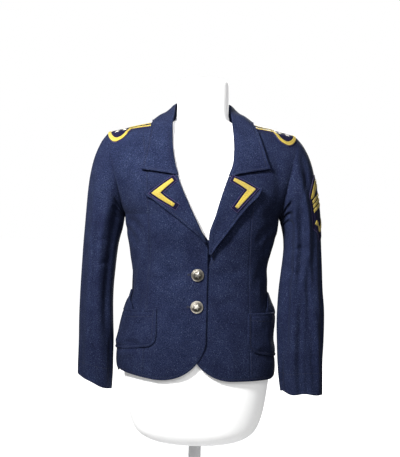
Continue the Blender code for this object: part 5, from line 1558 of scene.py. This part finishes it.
def new_material(name, base, roughness, metallic=0.0, sheen=0.0, sheen_tint=(1, 1, 1)):
    """A Principled material with its constants on the shader's own sockets."""
    material = bpy.data.materials.new(name)
    material.use_nodes = True
    tree = material.node_tree
    shader = tree.nodes["Principled BSDF"]
    shader.inputs["Base Color"].default_value = (*base, 1)
    shader.inputs["Roughness"].default_value = roughness
    shader.inputs["Metallic"].default_value = metallic
    shader.inputs["Sheen Weight"].default_value = sheen
    shader.inputs["Sheen Roughness"].default_value = 0.45
    shader.inputs["Sheen Tint"].default_value = (*sheen_tint, 1)
    return material, tree, shader


def object_place(tree):
    """Places in the object's own frame: a pattern read there runs on over every seam."""
    return tree.nodes.new("ShaderNodeTexCoord").outputs["Object"]


def cloth_place(tree):
    """Places on the piece's own map, in metres."""
    node = tree.nodes.new("ShaderNodeUVMap")
    node.uv_map = "cloth"
    return node.outputs["UV"]


def noise(tree, source, scale, detail=3.0, rough=0.5):
    """A noise texture read at source."""
    texture = tree.nodes.new("ShaderNodeTexNoise")
    texture.inputs["Scale"].default_value = scale
    texture.inputs["Detail"].default_value = detail
    texture.inputs["Roughness"].default_value = rough
    tree.links.new(source, texture.inputs["Vector"])
    return texture.outputs["Fac"]


def ramp(tree, source, stops):
    """A colour ramp from a value: stops are (position, colour)."""
    node = tree.nodes.new("ShaderNodeValToRGB")
    while len(node.color_ramp.elements) < len(stops):
        node.color_ramp.elements.new(0.5)
    for element, (position, colour) in zip(node.color_ramp.elements, stops):
        element.position = position
        element.color = (*colour, 1)
    tree.links.new(source, node.inputs["Fac"])
    return node.outputs["Color"]


def blend(tree, first, second, factor, kind="MIX"):
    node = tree.nodes.new("ShaderNodeMix")
    node.data_type, node.blend_type = "RGBA", kind
    for value, socket in ((factor, 0), (first, 6), (second, 7)):
        if hasattr(value, "is_output"):
            tree.links.new(value, node.inputs[socket])
        elif isinstance(value, tuple):
            node.inputs[socket].default_value = (*value, 1)
        else:
            node.inputs[socket].default_value = value
    return node.outputs[2]


def bump(tree, shader, height, strength, distance):
    node = tree.nodes.new("ShaderNodeBump")
    node.inputs["Strength"].default_value = strength
    node.inputs["Distance"].default_value = distance
    tree.links.new(height, node.inputs["Height"])
    tree.links.new(node.outputs["Normal"], shader.inputs["Normal"])


def waves(tree, source, direction, scale, distortion=0.0):
    texture = tree.nodes.new("ShaderNodeTexWave")
    texture.bands_direction = direction
    texture.inputs["Scale"].default_value = scale
    texture.inputs["Distortion"].default_value = distortion
    tree.links.new(source, texture.inputs["Vector"])
    return texture.outputs["Fac"]


# %% The finishes
def make_jersey(name, dark, light, pale, sheen):
    material, tree, shader = new_material(name, dark, 0.92, 0.0, sheen, (0.55, 0.66, 1.0))
    shader.inputs["Specular IOR Level"].default_value = 0.08
    where = object_place(tree)
    cloth = cloth_place(tree)
    cloud = noise(tree, where, 26, 3.0, 0.6)
    fibre = noise(tree, where, 620, 4.0, 0.7)
    fleck = noise(tree, where, 860, 2.0, 0.5)
    body = ramp(tree, fibre, [(0.36, dark), (0.66, light)])
    flecks = ramp(tree, fleck, [(0.60, (0, 0, 0)), (0.75, (1, 1, 1))])
    worn = ramp(tree, cloud, [(0.30, (0.72, 0.72, 0.78)), (0.70, (1.22, 1.22, 1.16))])
    colour = blend(tree, body, pale, flecks)
    colour = blend(tree, colour, worn, 1.0, "MULTIPLY")
    tree.links.new(colour, shader.inputs["Base Color"])
    ribs = waves(tree, cloth, "X", 150, 0.6)
    loops = waves(tree, cloth, "Y", 210, 1.2)
    knit = blend(tree, ribs, loops, 0.4)
    surface = blend(tree, knit, fibre, 0.55)
    bump(tree, shader, surface, 0.75, 0.0006)
    return material


def make_embroidery(name, low, high, roughness, sheen, pitch=0.00055):
    """Satin stitch: fine ridges across the ribbon, a painted highlight on each thread's top and painted shade
    between threads.
    """
    material, tree, shader = new_material(name, high, roughness, 0.0, sheen, (1.0, 0.93, 0.6))
    cloth = cloth_place(tree)
    where = object_place(tree)
    threads = waves(tree, cloth, "Y", math.pi / 10 / pitch, 0.8)
    speckle = noise(tree, where, 700, 3.0, 0.6)
    # painted shade and highlight: the thread bands run from the low colour between threads to the high colour on
    # their tops; the speckle is random tone
    colour = ramp(tree, blend(tree, threads, speckle, 0.35), [(0.15, low), (0.75, high)])
    tree.links.new(colour, shader.inputs["Base Color"])
    bump(tree, shader, threads, 0.7, 0.0004)
    return material


def make_antique_metal(name):
    """Pale worn metal on the relief, dark patina in the hollows; the map's first number is the relief."""
    material, tree, shader = new_material(name, (0.55, 0.52, 0.44), 0.34, 1.0)
    cloth = cloth_place(tree)
    split = tree.nodes.new("ShaderNodeSeparateXYZ")
    tree.links.new(cloth, split.inputs["Vector"])
    where = object_place(tree)
    stain = noise(tree, where, 900, 4.0, 0.6)
    worn = tree.nodes.new("ShaderNodeMath")
    worn.operation = "MULTIPLY_ADD"
    worn.inputs[1].default_value = 0.35
    tree.links.new(stain, worn.inputs[0])
    tree.links.new(split.outputs["X"], worn.inputs[2])
    colour = ramp(tree, worn.outputs["Value"],
                  [(0.10, (0.045, 0.041, 0.035)), (0.42, (0.24, 0.225, 0.195)), (0.95, (0.36, 0.345, 0.31))])
    tree.links.new(colour, shader.inputs["Base Color"])
    tree.links.new(ramp(tree, stain, [(0.3, (0.26, 0.26, 0.26)), (0.7, (0.46, 0.46, 0.46))]),
              shader.inputs["Roughness"])
    bump(tree, shader, stain, 0.25, 0.0002)
    return material


def make_plain(name, base, roughness, metallic, grain, strength):
    """A painted or moulded surface: faint cloudiness in colour and a fine grain."""
    material, tree, shader = new_material(name, base, roughness, metallic)
    where = object_place(tree)
    cloud = noise(tree, where, 9, 3.0, 0.5)
    shade = ramp(tree, cloud, [(0.3, tuple(0.97 * value for value in base)), (0.7, base)])
    tree.links.new(shade, shader.inputs["Base Color"])
    bump(tree, shader, noise(tree, where, grain, 2.0, 0.5), strength, 0.0003)
    return material


jersey = make_jersey("navy jersey", (0.0026, 0.0043, 0.0155), (0.0135, 0.0195, 0.0520),
                     (0.076, 0.094, 0.172), 0.012)
twill = make_jersey("navy twill backing", (0.0040, 0.0034, 0.0150), (0.0085, 0.0075, 0.0300),
                    (0.022, 0.022, 0.06), 0.012)
piping_purple = make_embroidery("purple navy overlock", (0.013, 0.009, 0.045), (0.038, 0.025, 0.105), 0.8, 0.02)
navy_thread = make_embroidery("navy sewing thread", (0.0034, 0.0050, 0.0175), (0.0090, 0.0130, 0.0380),
                              0.85, 0.0)
# painted shade: near-black for the tubes that stand for the shadow in a buttonhole's slit
slit_shadow_paint = make_plain("shadow in a buttonhole", (0.004, 0.004, 0.010), 0.95, 0.0, 300, 0.1)
gold_stitch = make_embroidery("gold satin stitch", (0.22, 0.150, 0.010), (0.56, 0.440, 0.075), 0.42, 0.10)
white_stitch = make_embroidery("white satin stitch", (0.50, 0.48, 0.42), (0.84, 0.83, 0.78), 0.5, 0.1)
antique = make_antique_metal("antique button metal")
form_white = make_plain("white moulded form", (0.88, 0.88, 0.875), 0.60, 0.0, 420, 0.06)
steel_white = make_plain("satin white steel", (0.66, 0.66, 0.67), 0.32, 0.1, 700, 0.05)

FORM_GLOW = 0.235  # the form is nearly burnt out in the photograph, and a lit surface alone is greyer
form_shader = form_white.node_tree.nodes["Principled BSDF"]
form_shader.inputs["Emission Color"].default_value = (1, 1, 1, 1)
form_shader.inputs["Emission Strength"].default_value = FORM_GLOW

# words in a piece's name, and the material that it wears; the first that fits counts, and the rest is jersey
WEARS = [
    (("backing", "epaulette_ground", "badge_shield"), twill), (("piping",), piping_purple),
    (("buttonhole_purl", "topstitching"), navy_thread), (("buttonhole_slits",), slit_shadow_paint),
    (("epaulette_stars",), white_stitch), (("_gold", "_stripe_", "epaulette_braid"), gold_stitch),
    (("_relief",), antique), (("form_smooth",), form_white), (("stand_",), steel_white),
]
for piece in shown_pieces():
    if piece.name in frame["nodes"]:
        continue
    wears = next((material for words, material in WEARS if any(word in piece.name for word in words)), jersey)
    piece.data.materials.clear()
    piece.data.materials.append(wears)

# %% [markdown]
# ## Stage, light and camera
#
# A product photograph of dark cloth on white needs a bright, even surround. The key light, from the front on the
# wearer's right, makes the folds read, and a weak fill from the front keeps their shadows open. A light from
# behind gives the shoulders and sleeves their pale edge. The floor is large, and it and the sky look white to
# the camera but light the cloth only a little. The camera stands where the photographer's did: straight ahead
# at half the garment's height, and rolled a little, as the picture is.

# %% Set the stage
FLOOR_REACH, FLOOR_SEEN, BACKGROUND, AMBIENT = 40, 0.95, 1.0, 0.26
floor_mesh = bpy.data.meshes.new("studio_floor")
corners = [(x * FLOOR_REACH, y * FLOOR_REACH, 0) for x, y in ((-1, -1), (1, -1), (1, 1), (-1, 1))]
floor_mesh.from_pydata(corners, [], [(0, 1, 2, 3)])
floor = bpy.data.objects.new("studio_floor", floor_mesh)
bpy.context.scene.collection.objects.link(floor)
floor_mesh.materials.append(make_plain("pale studio floor", (0.38, 0.38, 0.38), 0.8, 0.0, 60, 0.02))


def seen_or_lit(tree, seen, lit):
    """A strength that is seen where the camera looks straight at it, and lit where it lights the object."""
    path, choice = tree.nodes.new("ShaderNodeLightPath"), tree.nodes.new("ShaderNodeMix")
    choice.inputs["A"].default_value, choice.inputs["B"].default_value = lit, seen
    tree.links.new(path.outputs["Is Camera Ray"], choice.inputs["Factor"])
    return choice.outputs["Result"]


world = bpy.data.worlds.new("soft white studio")
world.use_nodes = True
tree = world.node_tree
sky = tree.nodes["Background"]
sky.inputs["Color"].default_value = (1.0, 1.0, 1.0, 1)
tree.links.new(seen_or_lit(tree, BACKGROUND, AMBIENT), sky.inputs["Strength"])
bpy.context.scene.world = world
bpy.context.scene.view_settings.view_transform = "Standard"

tree = floor_mesh.materials[0].node_tree
shader = tree.nodes["Principled BSDF"]
shader.inputs["Emission Color"].default_value = (1, 1, 1, 1)
tree.links.new(seen_or_lit(tree, FLOOR_SEEN, 0.0), shader.inputs["Emission Strength"])

# name, place, point it faces, size, spread in degrees, power
LIGHTS = [
    ("key", (-0.95, -1.60, 1.60), (-0.10, 0, 0.84), 0.32, 56, 13),
    ("fill", (0.2, -2.4, 1.5), (0, 0, 0.80), 0.8, 84, 5.5),
    ("back", (0.8, 2.5, 1.6), (0, 0, 0.55), 0.6, 180, 66),
]
for name, place, target, size, spread, power in LIGHTS:
    light = bpy.data.lights.new(name, "AREA")
    light.size, light.spread, light.energy = size, math.radians(spread), power
    lamp = bpy.data.objects.new(name, light)
    lamp.location = place
    lamp.rotation_euler = (Vector(target) - Vector(place)).to_track_quat("-Z", "Y").to_euler()
    bpy.context.scene.collection.objects.link(lamp)

CAMERA_PLACE, PHOTO_LEAN, LENS = (0.0, -2.4, 0.555), 1.4, 94.5
camera = bpy.data.cameras.new("photo")
camera.lens, camera.sensor_width = LENS, 36.0
viewer = bpy.data.objects.new("photo", camera)
viewer.location = CAMERA_PLACE
viewer.rotation_euler = (Matrix.Rotation(math.radians(90), 3, "X")
                         @ Matrix.Rotation(math.radians(PHOTO_LEAN), 3, "Z")).to_euler()
bpy.context.scene.collection.objects.link(viewer)
bpy.context.scene.camera = viewer
print("camera at", CAMERA_PLACE, "with a", LENS, "mm lens")

# %% [markdown]
# ## A table of the cloth's sheets
#
# For every sheet the table gives a flat width and length: those of the cloth that shows, all round for a sleeve.
# A little less than the area of the creased surface, because jersey gives over the form, and never more than
# width times length. The loop below only reads the table and looks up the pieces that are sewn on; nothing is
# kept.

UNDER, FRONTS = ("form_smooth",), ("{side}_front_centre", "{side}_front_side")
# name: flat width and length, how it is held, what it rests on, and what is sewn to it
SHEETS = {
    "{side}_front_centre": (0.135, 0.500, "hung", UNDER, ()),
    "{side}_front_side": (0.122, 0.505, "hung", UNDER, ()),
    "back_panel": (0.450, 0.525, "hung", UNDER, ()),
    "{side}_sleeve": (0.285, 0.519, "hung", ("back_panel", "{side}_front_side"), ()),
    "{side}_lapel": (0.075, 0.162, "folded", FRONTS[:1], ()),
    "collar_leaf": (0.122, 0.500, "folded", ("back_panel",), ()),
    "{side}_pocket": (0.118, 0.112, "laid", FRONTS, ()),
    "{side}_pocket_ear": (0.060, 0.055, "folded", FRONTS[1:], ()),
    "left_facing": (0.045, 0.068, "folded", ("left_front_centre",), ()),
    "{side}_chevron_backing": (0.031, 0.122, "laid", ("{side}_lapel",),
                               ("{side}_chevron_gold", "{side}_chevron_piping")),
    "{side}_epaulette_ground": (0.084, 0.133, "laid", ("back_panel", "{side}_front_side"),
                                ("{side}_epaulette_braid", "{side}_epaulette_piping", "{side}_epaulette_stars")),
    "left_badge_shield": (0.085, 0.131, "laid", ("left_sleeve",),
                          ("left_badge_piping", *(f"left_badge_stripe_{count}" for count in range(6)))),
}
for pattern, (width, length, held, below, sewn) in SHEETS.items():
    for side in ("right", "left") if "{side}" in pattern else ("",):
        name = pattern.format(side=side)
        [other.format(side=side) for other in below]
        [bpy.data.objects[other.format(side=side)] for other in sewn]
